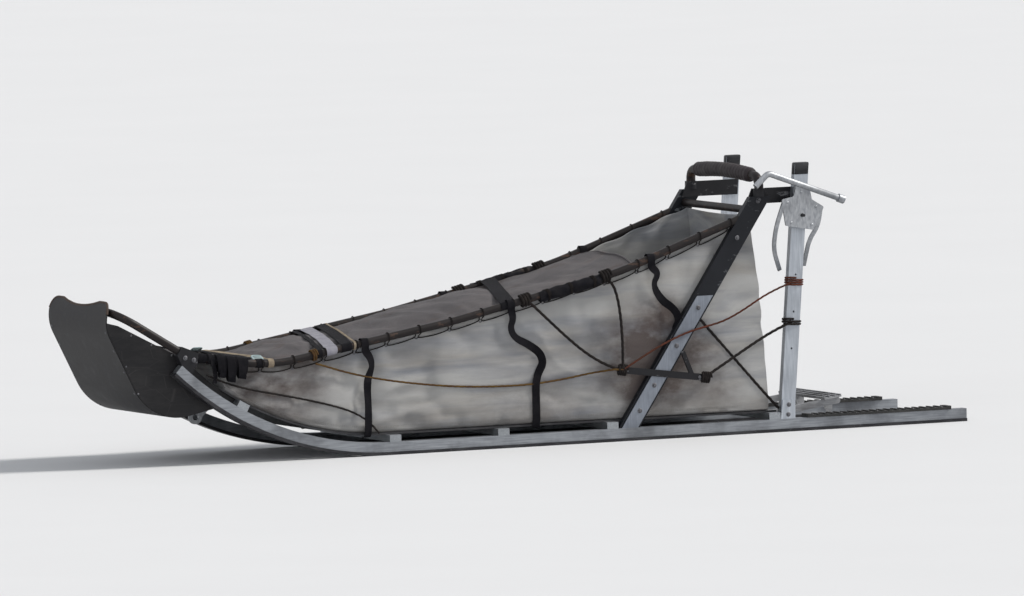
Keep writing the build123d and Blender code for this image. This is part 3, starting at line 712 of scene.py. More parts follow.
# x of its foot and of its top, at the rear and at the front
BAG_REAR_X = (66.5, 116.3)
BAG_FRONT_X = (1997.0, 2023.5)
BAG_RIM_DROP = 3.0
BAG_CORNER = 14.0
EYELET_PITCH = 112.0
EYELET_FIRST_X = 196.0
EYELET_DROP = 27.0
SCALLOP = 4.5
COLUMNS = 260
HEM_ROWS = (0.0, 4.0, 12.0, 20.0, 22.5, 25.0)
HEM_THICKNESS = 1.3
SIDE_ROWS = 34
FLOOR_STEPS = 24
ARC_STEPS = 5
HALF_RING = len(HEM_ROWS) + SIDE_ROWS + ARC_STEPS
# distance from a stanchion per millimetre along X, and where the canvas is held and free there
STANCHION_STEEPNESS = 0.83
STANCHION_CLEAR = (45, 150)


def rim_z(x):
    """Top edge of the bag, which dips a little between its eyelets."""
    phase = (np.asarray(x, float) - EYELET_FIRST_X) / EYELET_PITCH
    return rail_z(x) - BAG_RIM_DROP - SCALLOP * np.sin(math.pi * phase) ** 2


def stanchion_free(x, z):
    """0 behind the stanchion, which the canvas must clear, and 1 well away from it."""
    return smooth_step(np.abs(x - on_line(STANCHION, z)) * STANCHION_STEEPNESS, *STANCHION_CLEAR)


def ridge(value):
    """A fold with a rounded crest where the value is zero, about 0.5 high over its flanks."""
    return 0.65 - 2.6 * math.sqrt(value * value + 0.004)


def eyelet_wave(x):
    return math.cos(2 * math.pi * (x - EYELET_FIRST_X) / EYELET_PITCH)


def side_offset(x, z, side):
    """How far a side stands out from flat: a full belly, long folds along the rail's slope, and
    pleats below the eyelets. It stays small behind the stanchion."""
    low, high = floor_z(x), rim_z(x)
    share = min(max((z - low) / max(high - low, 1), 0), 1)
    belly = math.sin(math.pi * share) ** 0.7 if 0 < share < 1 else 0.0
    free = stanchion_free(x, z)
    seed = 1.0 if side > 0 else 2.0
    level = z + 0.16 * x
    folds = ridge(cloud(x / 430, 0.3, level / 88, seed)) * 12
    folds += ridge(cloud(x / 170, 0.6, level / 50, seed + 3)) * 5.5
    folds += cloud(x / 120, 0, z / 34, seed + 3) * 3.0
    folds += ridge(cloud((x + 0.7 * z) / 74, z / 130, 0.4, seed + 5)) * 3.6
    pleat = eyelet_wave(x) * math.exp((z - high) / 60) * 2.4
    return (2.0 + 3.0 * free) * belly + folds * belly * (0.45 + 0.55 * free) + pleat


def bag_half(side, bottom, top, low, high):
    """One column of a side, from the rim down and round the corner to the floor."""
    height = high - low
    straight = height - BAG_CORNER - HEM_ROWS[-1]
    drops = [*HEM_ROWS, *(HEM_ROWS[-1] + straight * i / SIDE_ROWS for i in range(1, SIDE_ROWS + 1))]
    half = []
    for drop in drops:
        x, z = top + (bottom - top) * (drop / height), high - drop
        hem = HEM_THICKNESS if drop < 21 else 0.0
        half.append((x, side * (BAG_HALF_WIDTH + hem + side_offset(x, z, side)), z))
    for i in range(1, ARC_STEPS + 1):
        angle = math.pi / 2 * i / ARC_STEPS
        y = BAG_HALF_WIDTH - BAG_CORNER + BAG_CORNER * math.cos(angle)
        half.append((bottom, side * y, low + BAG_CORNER - BAG_CORNER * math.sin(angle)))
    return half


def bag_grid():
    """Places of the cloth from the left rim round the floor to the right rim, column by column."""
    share = np.linspace(0, 1, COLUMNS)
    feet, tops = (rear + share * (front - rear) for rear, front in zip(BAG_REAR_X, BAG_FRONT_X))
    grid = []
    for bottom, top in zip(feet, tops):
        low, high = floor_z(bottom) + 0.6, rim_z(top)
        left, right = (bag_half(side, bottom, top, low, high) for side in SIDES)
        floor = []
        for i in range(1, FLOOR_STEPS):
            across = i / FLOOR_STEPS
            y = left[-1][1] + (right[-1][1] - left[-1][1]) * across
            lift = 2.2 * abs(cloud(bottom / 160, y / 110, 0.2, 9.0)) * math.sin(math.pi * across)
            floor.append((bottom, y, low + lift))
        grid.append(left + floor + right[::-1])
    return np.array(grid)


def end_wall(column, bulge, seed):
    """Grid that closes one end: rows down the end column's sides, and steps across."""
    rows = []
    for row in range(HALF_RING):
        left, right = column[row], column[len(column) - 1 - row]
        depth = math.sin(math.pi * min(row / (HALF_RING - 1) * 1.15, 1))
        line = []
        for i in range(FLOOR_STEPS + 1):
            place = left + (right - left) * (i / FLOOR_STEPS)
            free = math.sin(math.pi * i / FLOOR_STEPS)
            fold = cloud(place[1] / 140, place[2] / 60, 0.7, seed) * 3.5
            line.append(place + np.array([(bulge * depth + fold) * free, 0, -free * 7 * (row < 6)]))
        rows.append(line)
    return np.array(rows)


SIM_COLUMNS = [*range(0, COLUMNS, 4), COLUMNS - 1]
SIM_HALF = [0, 5, *range(8, 40, 3), 42, 45]
SIM_ROWS = SIM_HALF + [51, 56, 61] + [2 * HALF_RING + FLOOR_STEPS - 2 - row for row in SIM_HALF[::-1]]


def bag_held(places):
    """Which places the rim's hem, the floor and the corners hold."""
    x, y, z = places[:, 0], np.abs(places[:, 1]), places[:, 2]
    at_rim = (z > rim_z(x) - HEM_ROWS[-1] - 0.5) & (y > 227)
    at_end = (x > BAG_FRONT_X[0] - 5) & (y > 215)
    return at_rim | at_end | (z < floor_z(x) + BAG_CORNER)


def canvas_bag():
    """The bag after it has hung, eased to stay clear of the stanchions."""
    grid = bag_grid()
    grid = hung_grid(
        grid, SIM_COLUMNS, SIM_ROWS, bag_held, reach=0.015, spare=0.045, frames=32, gravity=1.0,
        bending=3.0,
    )
    x, y, z = grid[..., 0], grid[..., 1], grid[..., 2]
    out = np.abs(y) - BAG_HALF_WIDTH
    most = np.where(out > 0, 5.5 + 8.5 * stanchion_free(x, z), 17.0)
    eased = (BAG_HALF_WIDTH + most * np.tanh(out / most)) * np.sign(y)
    grid[..., 1] = np.where(np.abs(y) > BAG_HALF_WIDTH - 40, eased, y)
    walls = [end_wall(grid[0], -7.0, 11.0), end_wall(grid[-1], -2.0, 12.0)]
    shapes = [cloth_shape(part) for part in (grid, *walls)]
    bag = piece("bag_canvas", shapes, "canvas", slot="bag_canvas", weld=0.0001)
    bag.data.shade_smooth()
    thicken(bag, 0.0022)
    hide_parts("bag_body")
    return bag


# Cover over the front of the bag

COVER_HALF = 237.5
COVER_SKIRT = 14.0
COVER_REAR_X = 535.0
COVER_FRONT_X = 2036.0
COVER_ROWS = 190
COVER_STEPS = 60
SIM_COVER_COLUMNS = [*range(0, COVER_ROWS, 3)]
SIM_COVER_ROWS = [0, *range(3, COVER_STEPS + 4, 3), COVER_STEPS + 6]
# height of the crown above the rails: place along the sled, height
CROWN = (
    (535, 38), (580, 37), (680, 29), (780, 17), (890, 22), (1000, 36), (1110, 45), (1210, 44),
    (1320, 36), (1430, 30), (1550, 30), (1740, 41), (1900, 17), (2036, 8),
)
# bands pulled tight over it: place on the left rail, place on the right rail, width, look
BANDS = {
    "band_middle": (1003, 833, 50, "webbing"),
    "band_white_edge": (1549, 1415, 8, "cream_webbing"),
    "band_black": (1578, 1436, 36, "webbing"),
    "band_pale": (1632, 1488, 40, "white_webbing"),
    "band_black_front": (1672, 1530, 16, "webbing"),
    "band_cream": (1846, 1850, 20, "cream_webbing"),
    "band_nose": (1884, 1886, 28, "webbing"),
}
BAND_DIP = 5.0


def crown(x):
    """Crown height, eased between the places of the table."""
    reach = np.array([-60, -40, -20, 0, 20, 40, 60])
    weight = np.array([1, 2, 3, 4, 3, 2, 1]) / 16
    return float(np.interp(x + reach, *zip(*CROWN)) @ weight)


def cover_place(x, across):
    """Place of the cover at a share of its width, -1 to 1, with its sag and small folds."""
    y = across * COVER_HALF
    edge = 1 - abs(across)
    press = 0.0
    for x_left, x_right, width, _ in BANDS.values():
        away = abs(x - (x_left + x_right) / 2 - (x_left - x_right) / 2 * across)
        press = max(press, 1 - smooth_step(away, width * 0.5 + 6, width * 0.5 + 32))
    ripple = ridge(cloud((x + 0.3 * y) / 66, y / 190, 0.3, 21.0))
    ripple *= math.sin(math.pi / 2 * min(edge * 2.5, 1))
    wave = cloud(x / 150, y / 120, 0.6, 22.0) * 9.0 * math.sin(math.pi / 2 * min(edge * 1.6, 1))
    pull = eyelet_wave(x) * math.exp(-edge * 12)
    free = (ripple * 5.0 + pull * 1.8) * (1 - press) + wave
    level = rail_z(x) + crown(x) * (1 - abs(across) ** 2.9)
    return x, y, level + free - BAND_DIP * press * min(edge * 4, 1)


def cover_held(places):
    """Which places the rails and the front hem hold."""
    return (np.abs(places[:, 1]) > COVER_HALF - 12) | (places[:, 0] > COVER_FRONT_X - 20)


def cover_sheet():
    rows = []
    for x in COVER_REAR_X + (COVER_FRONT_X - COVER_REAR_X) * np.arange(COVER_ROWS) / (COVER_ROWS - 1):
        left, right = (
            [(x, side * COVER_HALF, rail_z(x) - COVER_SKIRT * share) for share in (1.0, 0.66, 0.33)]
            for side in SIDES
        )
        top = [cover_place(x, 1 - 2 * j / COVER_STEPS) for j in range(COVER_STEPS + 1)]
        rows.append(left + top + right[::-1])
    low = rail_z(COVER_FRONT_X) - COVER_SKIRT
    nose = rows[-1]
    for drop in (0.25, 0.5, 0.75, 1.0):
        rows.append([(x + 1.2 * drop, y, z + (low - z) * drop) for x, y, z in nose])
    grid = np.array(rows)
    grid = hung_grid(
        grid, SIM_COVER_COLUMNS, SIM_COVER_ROWS, cover_held, reach=0.009, spare=0.035, frames=30,
        gravity=0.15, bending=1.5,
    )
    sheet = piece("cover_sheet", [cloth_shape(grid)], "cover_cloth", slot="cover_canvas")
    thicken(sheet, 0.0018)
    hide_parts("bag_cover")
    return sheet


bag = canvas_bag()
cover = cover_sheet()


# Padded grip, wound with tape

GRIP_RADIUS = 0.0235
GRIP_HALF = 204.0
GRIP_SIDES = 36
TAPE_PITCH = 0.021
BAR_X = 89.1


def grip():
    """Foam sleeve under tape: each turn of the tape laps the one before it."""
    tree = node_surface("handlebar")
    ys = np.arange(-GRIP_HALF, GRIP_HALF + 0.1, 3.0)
    path = in_frame([(BAR_X, y, middle_height(tree, BAR_X, y)) for y in ys])
    reach = length_along(path)
    turns = (reach[:, None] / TAPE_PITCH + steps_round(GRIP_SIDES) / (2 * math.pi)) % 1
    lap = 0.0009 * turns + 0.0006 * np.exp(-((turns - 0.93) / 0.05) ** 2)
    ends = np.minimum(reach, reach[-1] - reach)
    taper = (0.72 + 0.28 * np.sqrt(np.clip(ends / 0.012, 0, 1)))[:, None]
    foam = GRIP_RADIUS + np.array([cloud(s * 22, 0, 0, 31.0) for s in reach])[:, None] * 0.0009
    section = circle(foam * taper + lap * (taper > 0.95), GRIP_SIDES)
    made = piece("grip_wound", [swept(path, section)], "grip_tape", slot="grip_foam")
    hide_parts("handlebar_grip")


grip()


# Places on the canvas and the cover

bag_tree = surface(bag)
cover_tree = surface(cover)
CLEAR_WINDOW = 7
COIL_STEPS = 26


def seen_canvas(x, z, side):
    """How far out the canvas lies here on that side, or None beside it."""
    hit = bag_tree.ray_cast(at(x, side * 320, z), Vector((0, -side, 0)))[0]
    return abs(hit.y) / MM if hit and hit.y * side > 0.2 else None


def canvas_y(x, z, side):
    """The same, with the flat side of the bag beside it."""
    return seen_canvas(x, z, side) or BAG_HALF_WIDTH


def cover_z(x, y):
    """Height of the cover's top here, in the sled's millimetres."""
    hit = cover_tree.ray_cast(at(x, y, ABOVE_ALL), DOWN)[0]
    return hit.z / MM if hit else rail_z(x)


def clear_of_canvas(path, gap, side):
    """The path in the frame, pushed out where it would lie deeper than this gap in millimetres."""
    need = []
    for point in path:
        y = seen_canvas((point[0] - SHIFT) / MM, point[2] / MM, side)
        need.append(max(abs(point[1]), (y + gap) * MM if y else 0.0))
    need = np.array(need)
    padded = np.pad(need, CLEAR_WINDOW, mode="edge")
    spans = [np.maximum(padded[i:i + len(need)], need) for i in range(2 * CLEAR_WINDOW + 1)]
    moved = path.copy()
    moved[:, 1] = np.mean(spans, axis=0) * side
    return moved


def coil(place, axis, radius, turns, pitch, phase=0.0, flat=1.0):
    """Turns of a line round an axis. flat is the share of the radius kept across Y."""
    normal = Vector(axis).normalized()
    across = (Vector((0, 1, 0)) - normal * normal.y).normalized()
    plane = np.array([across * flat, normal.cross(across)])
    wound = np.arange(int(turns * COIL_STEPS) + 1)[:, None] / COIL_STEPS
    angles = phase + wound * 2 * math.pi
    out = np.hstack([np.cos(angles), np.sin(angles)]) * radius @ plane
    return np.array(place) + np.array(normal) * (pitch * (wound - turns / 2)) + out


def rail_place(x, side):
    return at(x, side * HALF_TRACK, rail_z(x))


def rail_direction(x):
    return Vector((1, 0, rail_slope(x))).normalized()


def rail_coil(x, side, cord, turns):
    """Cord wound round a side rail, each turn against the last."""
    radius = RAIL_RADIUS * MM + cord + 0.0006
    return rope(coil(rail_place(x, side), rail_direction(x), radius, turns, cord * 2.1), cord)


# Lacing: the rim is tied to the rails through its eyelets

LACE_RADIUS = 0.0018
LACE_TURN = 15.6
LACE_ANGLES = (-105, -62, -18, 27, 72, 117, 162, 204)
EYELETS = [EYELET_FIRST_X + EYELET_PITCH * i for i in range(17)]
EYELET_RING = (
    (0.0062, -0.0003), (0.0058, 0.001), (0.0044, 0.0016), (0.0032, 0.0011), (0.0028, -0.0003),
    (0.0062, -0.0003),
)


def lacing(side):
    """Cord from eyelet to eyelet, once round the rail at each."""
    places = []
    for x in EYELETS:
        z = rail_z(x)
        hole = z - EYELET_DROP
        out = canvas_y(x, hole, side) + 2.6
        places += [(x - 7, out, hole - 1.5), (x - 2, out + 4, hole + 2)]
        for i, angle in enumerate(np.radians(LACE_ANGLES)):
            y = HALF_TRACK + LACE_TURN * math.cos(angle)
            places.append((x - 3 + i, y, z + LACE_TURN * math.sin(angle)))
        places += [(x + 5, out + 1.5, hole + 6), (x + 8, out, hole - 1)]
        middle = x + EYELET_PITCH / 2
        low = rail_z(middle) - EYELET_DROP - 5
        places.append((middle, canvas_y(middle, low, side) + 2.2, low))
    points = [at(x, side * y, z) for x, y, z in places[:-1]]
    path = clear_of_canvas(routed(points, 0.004), 1.6, side)
    piece("lacing", [rope(path, LACE_RADIUS, lay=0.008, sides=8)], "dark_cord", side)


def eyelets(side):
    rings = []
    for x in EYELETS:
        z = rail_z(x) - EYELET_DROP
        place = at(x, side * (canvas_y(x, z, side) + 0.2), z)
        rings.append(turned(EYELET_RING, place, (0, side, 0), sides=18))
    piece("eyelets", rings, "bolt_steel", side)


def seams(side):
    """Stitching along the hem and above the binding at the bed."""
    stitches = []
    for height, up in ((rim_z, -22.0), (rim_z, -4.5), (floor_z, 17.0), (floor_z, 21.0)):
        places = []
        for x in np.arange(160.0, 2005.0, 3.0):
            z = height(x) + up
            y = seen_canvas(x, z, side)
            if y:
                places.append((x, side * (y + 0.35), z))
        stitches += stitch_row(in_frame(places), (0, side, 0))
    piece("seams", stitches, "thread", side)


# Stay cords and the slack lines. Routes are places (x, y, z) on the left side.

CORD = 0.0048
THIN_CORD = 0.0034
STAY_ROUTES = {
    "brace_high": ((336, 248, 412), (300, 248, 372), (180, 248, 238), (70, 248, 116), (31, 248, 76)),
    "brace_low": ((305, 275, 195), (250, 273, 225), (120, 267, 297), (40, 264, 336), (-14, 263, 356)),
    "rail_long": (
        (936, 262, 474), (922, 268, 464), (868, 266, 414), (800, 264, 352), (735, 266, 297),
        (675, 272, 258), (622, 278, 236), (600, 283, 231),
    ),
    "rail_short": (
        (645, 256, 524), (632, 268, 520), (614, 268, 478), (603, 268, 415), (599, 270, 345),
        (601, 276, 280), (607, 284, 238),
    ),
}
SLACK_LINES = {
    "side_line": ("brown_cord", (
        (1690, 268, 308), (1668, 266, 302), (1590, 254, 277), (1509, 252, 256), (1420, 252, 238),
        (1310, 252, 221), (1190, 252, 207), (1060, 252, 200), (930, 252, 199), (810, 252, 210),
        (714, 258, 226), (655, 272, 233), (630, 283, 236), (606, 285, 234),
    )),
    "rising_line": ("red_cord", (
        (612, 284, 229), (560, 285, 258), (470, 280, 304), (373, 277, 342), (300, 276, 358),
        (234, 275, 372), (164, 274, 404), (94, 273, 444), (40, 272, 467), (2, 271, 480),
        (-14, 271, 486),
    )),
    "low_line": ("dark_cord", (
        (2072, 262, 290), (2010, 256, 262), (1914, 252, 234), (1816, 250, 214), (1708, 250, 190),
        (1610, 250, 164), (1545, 251, 140), (1490, 250, 104), (1462, 247, 70),
    )),
}
# the right side hangs a little differently from the left
STAY_DRIFT = 2.0
LINE_DRIFT = 3.0
POST_AXIS = (0.09, 0, -1)


def route_path(route, side, drift):
    """Path of a left side's route, mirrored for the right with this much drift."""
    drift = 0.0 if side > 0 else drift
    inner = range(1, len(route) - 1)
    return routed([
        at(x, side * y, z + drift * math.sin(2.4 * i) * (i in inner))
        for i, (x, y, z) in enumerate(route)
    ])


def stays(side):
    ropes = []
    for name, route in STAY_ROUTES.items():
        path = route_path(route, side, STAY_DRIFT)
        if name.startswith("rail"):
            path = clear_of_canvas(path, 5.0, side)
        ropes.append(rope(path, CORD))
    ropes += [rail_coil(x, side, CORD, 3.3) for x in (938, 648)]
    turns = [
        coil(at(x, side * (LASHING_OUTER_Y - 4), z), (1, 0, 0.13), 0.0158, 4.2, 0.0075, flat=0.62)
        for x, z in ((304, 193), (603, 232))
    ]
    turns.append(coil(at(-18, side * HALF_TRACK, 357), POST_AXIS, 0.031, 2.2, 0.0085, flat=0.55))
    ropes += [rope(path, CORD * 0.8) for path in turns]
    made = piece("stay_cords", ropes, "dark_cord", side, slot="cord_dark")
    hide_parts(f"stays_{SIDES[side]}")


def slack_line(name, look, route, side):
    """Line that hangs along the side between the places where it is tied."""
    path = clear_of_canvas(route_path(route, side, LINE_DRIFT), THIN_CORD / MM * 0.9, side)
    made = piece(name, [rope(path, THIN_CORD)], look, side)


def line_ties(side):
    """Turns of the slack lines round what they are tied to."""
    piece("side_line_tie", [rail_coil(1692, side, THIN_CORD, 2.6)], "brown_cord", side)
    turns = coil(at(-30, side * HALF_TRACK, 488), POST_AXIS, 0.0305, 3.2, 0.0075, flat=0.55)
    piece("line_ties", [rope(turns, THIN_CORD)], "red_cord", side)


# Webbing straps that hang on the canvas, slack and wavy: places (x, z) below the rail, and the
# turn of the strap about its length there. They end under the bed, or tucked behind the stanchion.

STRAP_WIDTH = 0.026
STRAP_THICKNESS = 0.0019
BAND_THICKNESS = 1.6
# where a band feels for the cover, in shares of its width
BAND_SAMPLES = (-0.45, -0.2, 0, 0.2, 0.45)
# straps that end below this height go round the bed's edge
TUCKED_ABOVE_Z = 120
HANGING_STRAPS = {
    "strap_front": (
        (1513, 341, 0.0), (1497, 319, 0.3), (1488, 292, 0.5), (1495, 262, 0.1), (1505, 238, -0.2),
        (1503, 208, 0.0), (1501, 172, 0.1), (1502, 130, 0.0), (1503, 95, 0.0),
    ),
    "strap_middle": (
        (991, 446, 0.0), (984, 418, 0.25), (994, 388, 0.35), (978, 354, 0.5), (930, 331, 0.2),
        (890, 304, -0.3), (877, 270, -0.5), (895, 238, 0.0), (905, 204, 0.1), (903, 160, 0.0),
        (904, 98, 0.0),
    ),
    "strap_rear": (
        (486, 560, 0.0), (462, 538, 0.45), (482, 502, 0.6), (450, 452, 0.2), (404, 420, -0.3),
        (386, 380, -0.45), (398, 352, -0.2),
    ),
}
RAIL_WRAP = ((241.5, -14), (240.5, -2), (243, 10), (251, 16), (262, 15), (270, 6), (271, -6))
BED_WRAP = ((249, 74), (245, 61), (236, 58), (222, 60))


def hanging_strap(name, route, side):
    top_x, (end_x, end_z, _) = route[0][0] + 2, route[-1]
    tucked = end_z > TUCKED_ABOVE_Z
    places = [(top_x, y, rail_z(top_x) + up, 0.0) for y, up in RAIL_WRAP]
    for i, (x, z, turn) in enumerate(route):
        out = 262 - 9 * min(i / 3, 1) + 3 * math.sin(1.9 * i)
        places.append((x + (2 * math.sin(3.1 * i) if side < 0 else 0), out, z, turn))
    if tucked:
        places[-1] = (places[-1][0], 242.4, *places[-1][2:])
        places.append((end_x - 8, 242.2, end_z - 26, 0.0))
    else:
        places += [(end_x, y, z, 0.0) for y, z in BED_WRAP]
    points = [at(x, side * y, z) for x, y, z, _ in places]
    path = routed(points, 0.004)
    reach, knots = length_along(path), length_along(np.array([tuple(point) for point in points]))
    turn = np.interp(reach / reach[-1], knots / knots[-1], [place[3] for place in places]) * side
    if not tucked:
        path = clear_of_canvas(path, 1.6, side)
    path[:, 1] += side * STRAP_WIDTH / 2 * np.abs(np.sin(turn))
    strap = swept(path, strap_section(STRAP_WIDTH, STRAP_THICKNESS), (0, -side, 0), turn)
    piece(name, [strap], "webbing", side)


# Bands across the cover, pulled over the rails


def upper_hull(points):
    """The line of a band pulled tight over these places, from right to left."""
    chain = []
    for point in sorted(map(tuple, points)):
        while len(chain) > 1:
            (ax, az), (bx, bz) = chain[-2:]
            if (bx - ax) * (point[1] - az) - (bz - az) * (point[0] - ax) < 0:
                break
            chain.pop()
        chain.append(point)
    return np.array(chain)


def band(name, x_left, x_right, width, look):
    """Band from under one rail over the cover to under the other."""
    clear = RAIL_RADIUS + BAND_THICKNESS / 2 + 0.3
    middle, drift = (x_left + x_right) / 2, (x_left - x_right) / 2 / HALF_TRACK

    def place_x(y):
        return middle + drift * np.clip(y, -HALF_TRACK, HALF_TRACK)

    def round_rail(side, *degrees):
        level = rail_z(place_x(side * HALF_TRACK))
        return [
            (side * (HALF_TRACK + clear * math.cos(angle)), level + clear * math.sin(angle))
            for angle in np.radians(np.arange(*degrees))
        ]

    def slope(x, y):
        if abs(y) >= COVER_HALF - 6:
            return rail_slope(x)
        return (cover_z(x + width * 0.45, y) - cover_z(x - width * 0.45, y)) / (width * 0.9)

    places = round_rail(1, 0, 181, 6) + round_rail(-1, 0, 181, 6)
    for y in np.linspace(-COVER_HALF + 2, COVER_HALF - 2, 90):
        x = place_x(y)
        high = max(cover_z(x + shift * width, y) for shift in BAND_SAMPLES)
        places.append((y, (high * 2 + cover_z(x, y)) / 3 + BAND_THICKNESS / 2 + 0.8))
    chain = upper_hull(places)
    reach = length_along(chain)
    dense = np.linspace(0, reach[-1], 260)
    over = np.stack([np.interp(dense, reach, chain[:, i]) for i in (0, 1)], 1)
    line = np.vstack([round_rail(-1, -4, -128, -8)[::-1], over, round_rail(1, -4, -128, -8)])
    xs = place_x(line[:, 0])
    across = softened(np.array([(1, 0, slope(x, y)) for x, y in zip(xs, line[:, 0])], float), 6)
    path = in_frame(np.column_stack([xs, line]))
    piece(name, [laid_strap(path, width * MM, BAND_THICKNESS * MM, across)], look)


def cover_hem():
    """Cord in the hem at the cover's mouth, and the stitching along its edges."""
    ys = np.linspace(-COVER_HALF + 1, COVER_HALF - 1, 110)
    path = in_frame([(COVER_REAR_X + 2, y, cover_z(COVER_REAR_X + 3, y) - 0.6) for y in ys])
    piece("cover_hem", [swept(path, circle(0.0036, 12))], "cover_cloth")
    xs = np.arange(COVER_REAR_X + 12, COVER_FRONT_X - 10, 3.0)
    rows = [[(x, y) for y in ys[2:-2]] for x in (COVER_REAR_X + 9, COVER_REAR_X + 13, COVER_FRONT_X - 8)]
    rows += [[(x, side * (COVER_HALF - inset)) for x in xs] for side in SIDES for inset in (9, 13)]
    stitches = []
    for row in rows:
        stitches += stitch_row(in_frame([(x, y, cover_z(x, y) + 0.3) for x, y in row]), (0, 0, 1))
    piece("cover_seams", stitches, "thread")


# Straps and buckles by the bow joint

# straps wound round the rail: place, turns and lean
WOUND_STRAPS = ((1944, 2.3, 0.9), (1996, 3.1, -1.4), (2050, 2.2, 1.2), (2089, 2.4, -0.7))
# loops of strap slung over the rail: place, drop, lean and width; and one loop as shares of the
# lean, places across and heights, which below the rail are shares of the drop
FRONT_LOOPS = (
    (1938, 36, 6, 0.022), (1955, 54, -5, 0.026), (1975, 47, 8, 0.024), (1993, 68, -6, 0.026),
    (2011, 55, 9, 0.024), (2031, 42, -9, 0.022),
)
LOOP = (
    (0.0, 247, 15), (0.0, 259, 18), (0.1, 270, 12), (0.3, 273, 0), (0.6, 273, -0.5),
    (0.9, 270, -0.9), (1.0, 263, -1.02), (0.9, 254, -0.88), (0.6, 250, -0.5), (0.3, 245, -0.15),
    (0.1, 241, 4), (0.0, 247, 14),
)
BUCKLE_BAR = 0.0032


def front_strap(path, width, along):
    return laid_strap(path, width, STRAP_THICKNESS, np.tile(tuple(along), (len(path), 1)))


def wound_strap(x, side, turns, lean):
    """Webbing wound round a rail, lapping itself."""
    place, radius = rail_place(x, side), RAIL_RADIUS * MM
    along = rail_direction(x) + Vector((0, 0.1 * lean, 0.05 * lean))
    path = coil(place, along, radius + 0.0016, turns, 0.015, phase=lean)
    grow = np.linspace(0, 0.0016, len(path))[:, None]
    path += (path - np.array(place)) * [0, 1, 1] * grow / radius
    return front_strap(path, 0.022, along)


def front_wraps(side):
    """Straps wound round the rail by the bow joint, with their ends hanging, and slung loops."""
    straps = [wound_strap(x, side, turns, lean * side) for x, turns, lean in WOUND_STRAPS]
    for x, drop, sway in ((1972, 62, 14), (2052, 78, -12)):
        route = (
            (0, 262, 10), (2, 271, 2), (2, 270, -14), (sway * 0.4, 266, -30),
            (sway, 262, -drop * 0.75), (sway * 0.6, 262, -drop),
        )
        path = routed([at(x + ahead, side * y, rail_z(x) + up) for ahead, y, up in route], 0.004)
        straps.append(swept(path, strap_section(0.018, STRAP_THICKNESS), (0, side, 0.2), 0.25))
    for i, (x, drop, lean, width) in enumerate(FRONT_LOOPS):
        points = []
        for share, y, up in LOOP:
            out = y + (2.4 if i % 2 and y > 255 else 0.0)
            z = rail_z(x) + (up * drop if up < 0 else up)
            points.append(at(x + lean * share, side * out, z))
        along = (1, 0.1 * lean / 10 * side, rail_slope(x))
        straps.append(front_strap(routed(points, 0.004), width, along))
    piece("front_wraps", straps, "webbing", side)


def buckle(place, along, normal, length, width):
    """Ladder buckle: an oblong frame with two bars across its middle."""
    place, along, normal = np.array(place), Vector(along).normalized(), Vector(normal).normalized()
    across, along = np.array(normal.cross(along)), np.array(along)
    outline = rounded_box(np.linspace(0, 2 * math.pi, 33), length / 2, width / 2, 5)
    loop = place + outline @ np.array([along, across])
    shapes = [swept(loop, circle(BUCKLE_BAR, 10) * [1, 0.75], up=normal)]
    reach = across * width * 0.48
    for shift in (-0.12, 0.18):
        middle = place + along * shift * length
        path = np.array([middle - reach, middle + np.array(normal) * 0.0015, middle + reach])
        shapes.append(swept(path, circle(BUCKLE_BAR * 0.8, 10), up=normal))
    return shapes


def front_buckles():
    shapes = []
    for side in SIDES:
        place = at(1884, side * 240, rail_z(1884) + 17)
        shapes += buckle(place, (0, side, -0.45), (0, side * 0.9, 1), 0.03, 0.034)
    piece("front_buckles", shapes, "buckle_plastic")


# Dark sleeve of cloth rolled round the rail, with its ties at these shares of its length

SLEEVE_TIES = (0.12, 0.5, 0.86)
SLEEVE_SIDES = 28
sleeve_places = np.arange(668.0, 892.0, 4.0)


def sleeve_place(x, side):
    return x, side * (HALF_TRACK + 3), rail_z(x) - 4.5


def rail_sleeve(side):
    angles = steps_round(SLEEVE_SIDES)
    start, length = sleeve_places[0], sleeve_places[-1] - sleeve_places[0]
    sizes = []
    for x in sleeve_places:
        share = (x - start) / length
        full = 0.45 + 0.55 * math.sin(math.pi * min(max(share, 0.02), 0.98)) ** 0.5
        tie = sum(math.exp(-((share - k) / 0.03) ** 2) for k in SLEEVE_TIES)
        fold = np.array([
            cloud(x / 26, math.cos(angle) * 1.6, math.sin(angle) * 1.6, 41.0 + side) for angle in angles
        ])
        sizes.append(19.5 * full ** 0.35 + fold * 3.2 - 3.4 * tie + 1.2 * np.sin(3 * angles + x / 40))
    path = in_frame([sleeve_place(x, side) for x in sleeve_places])
    sleeve = swept(path, circle(np.array(sizes) * MM, SLEEVE_SIDES))
    piece("rail_sleeve", [sleeve], "sleeve_cloth", side)
    ties = []
    for x in (start + share * length for share in SLEEVE_TIES):
        turns = coil(at(*sleeve_place(x, side)), rail_direction(x), 0.0186, 2.4, 0.0042)
        ties.append(rope(turns, 0.0019, sides=8))
    piece("sleeve_ties", ties, "dark_cord", side)


# Bolts, rivets, caps and edge trim

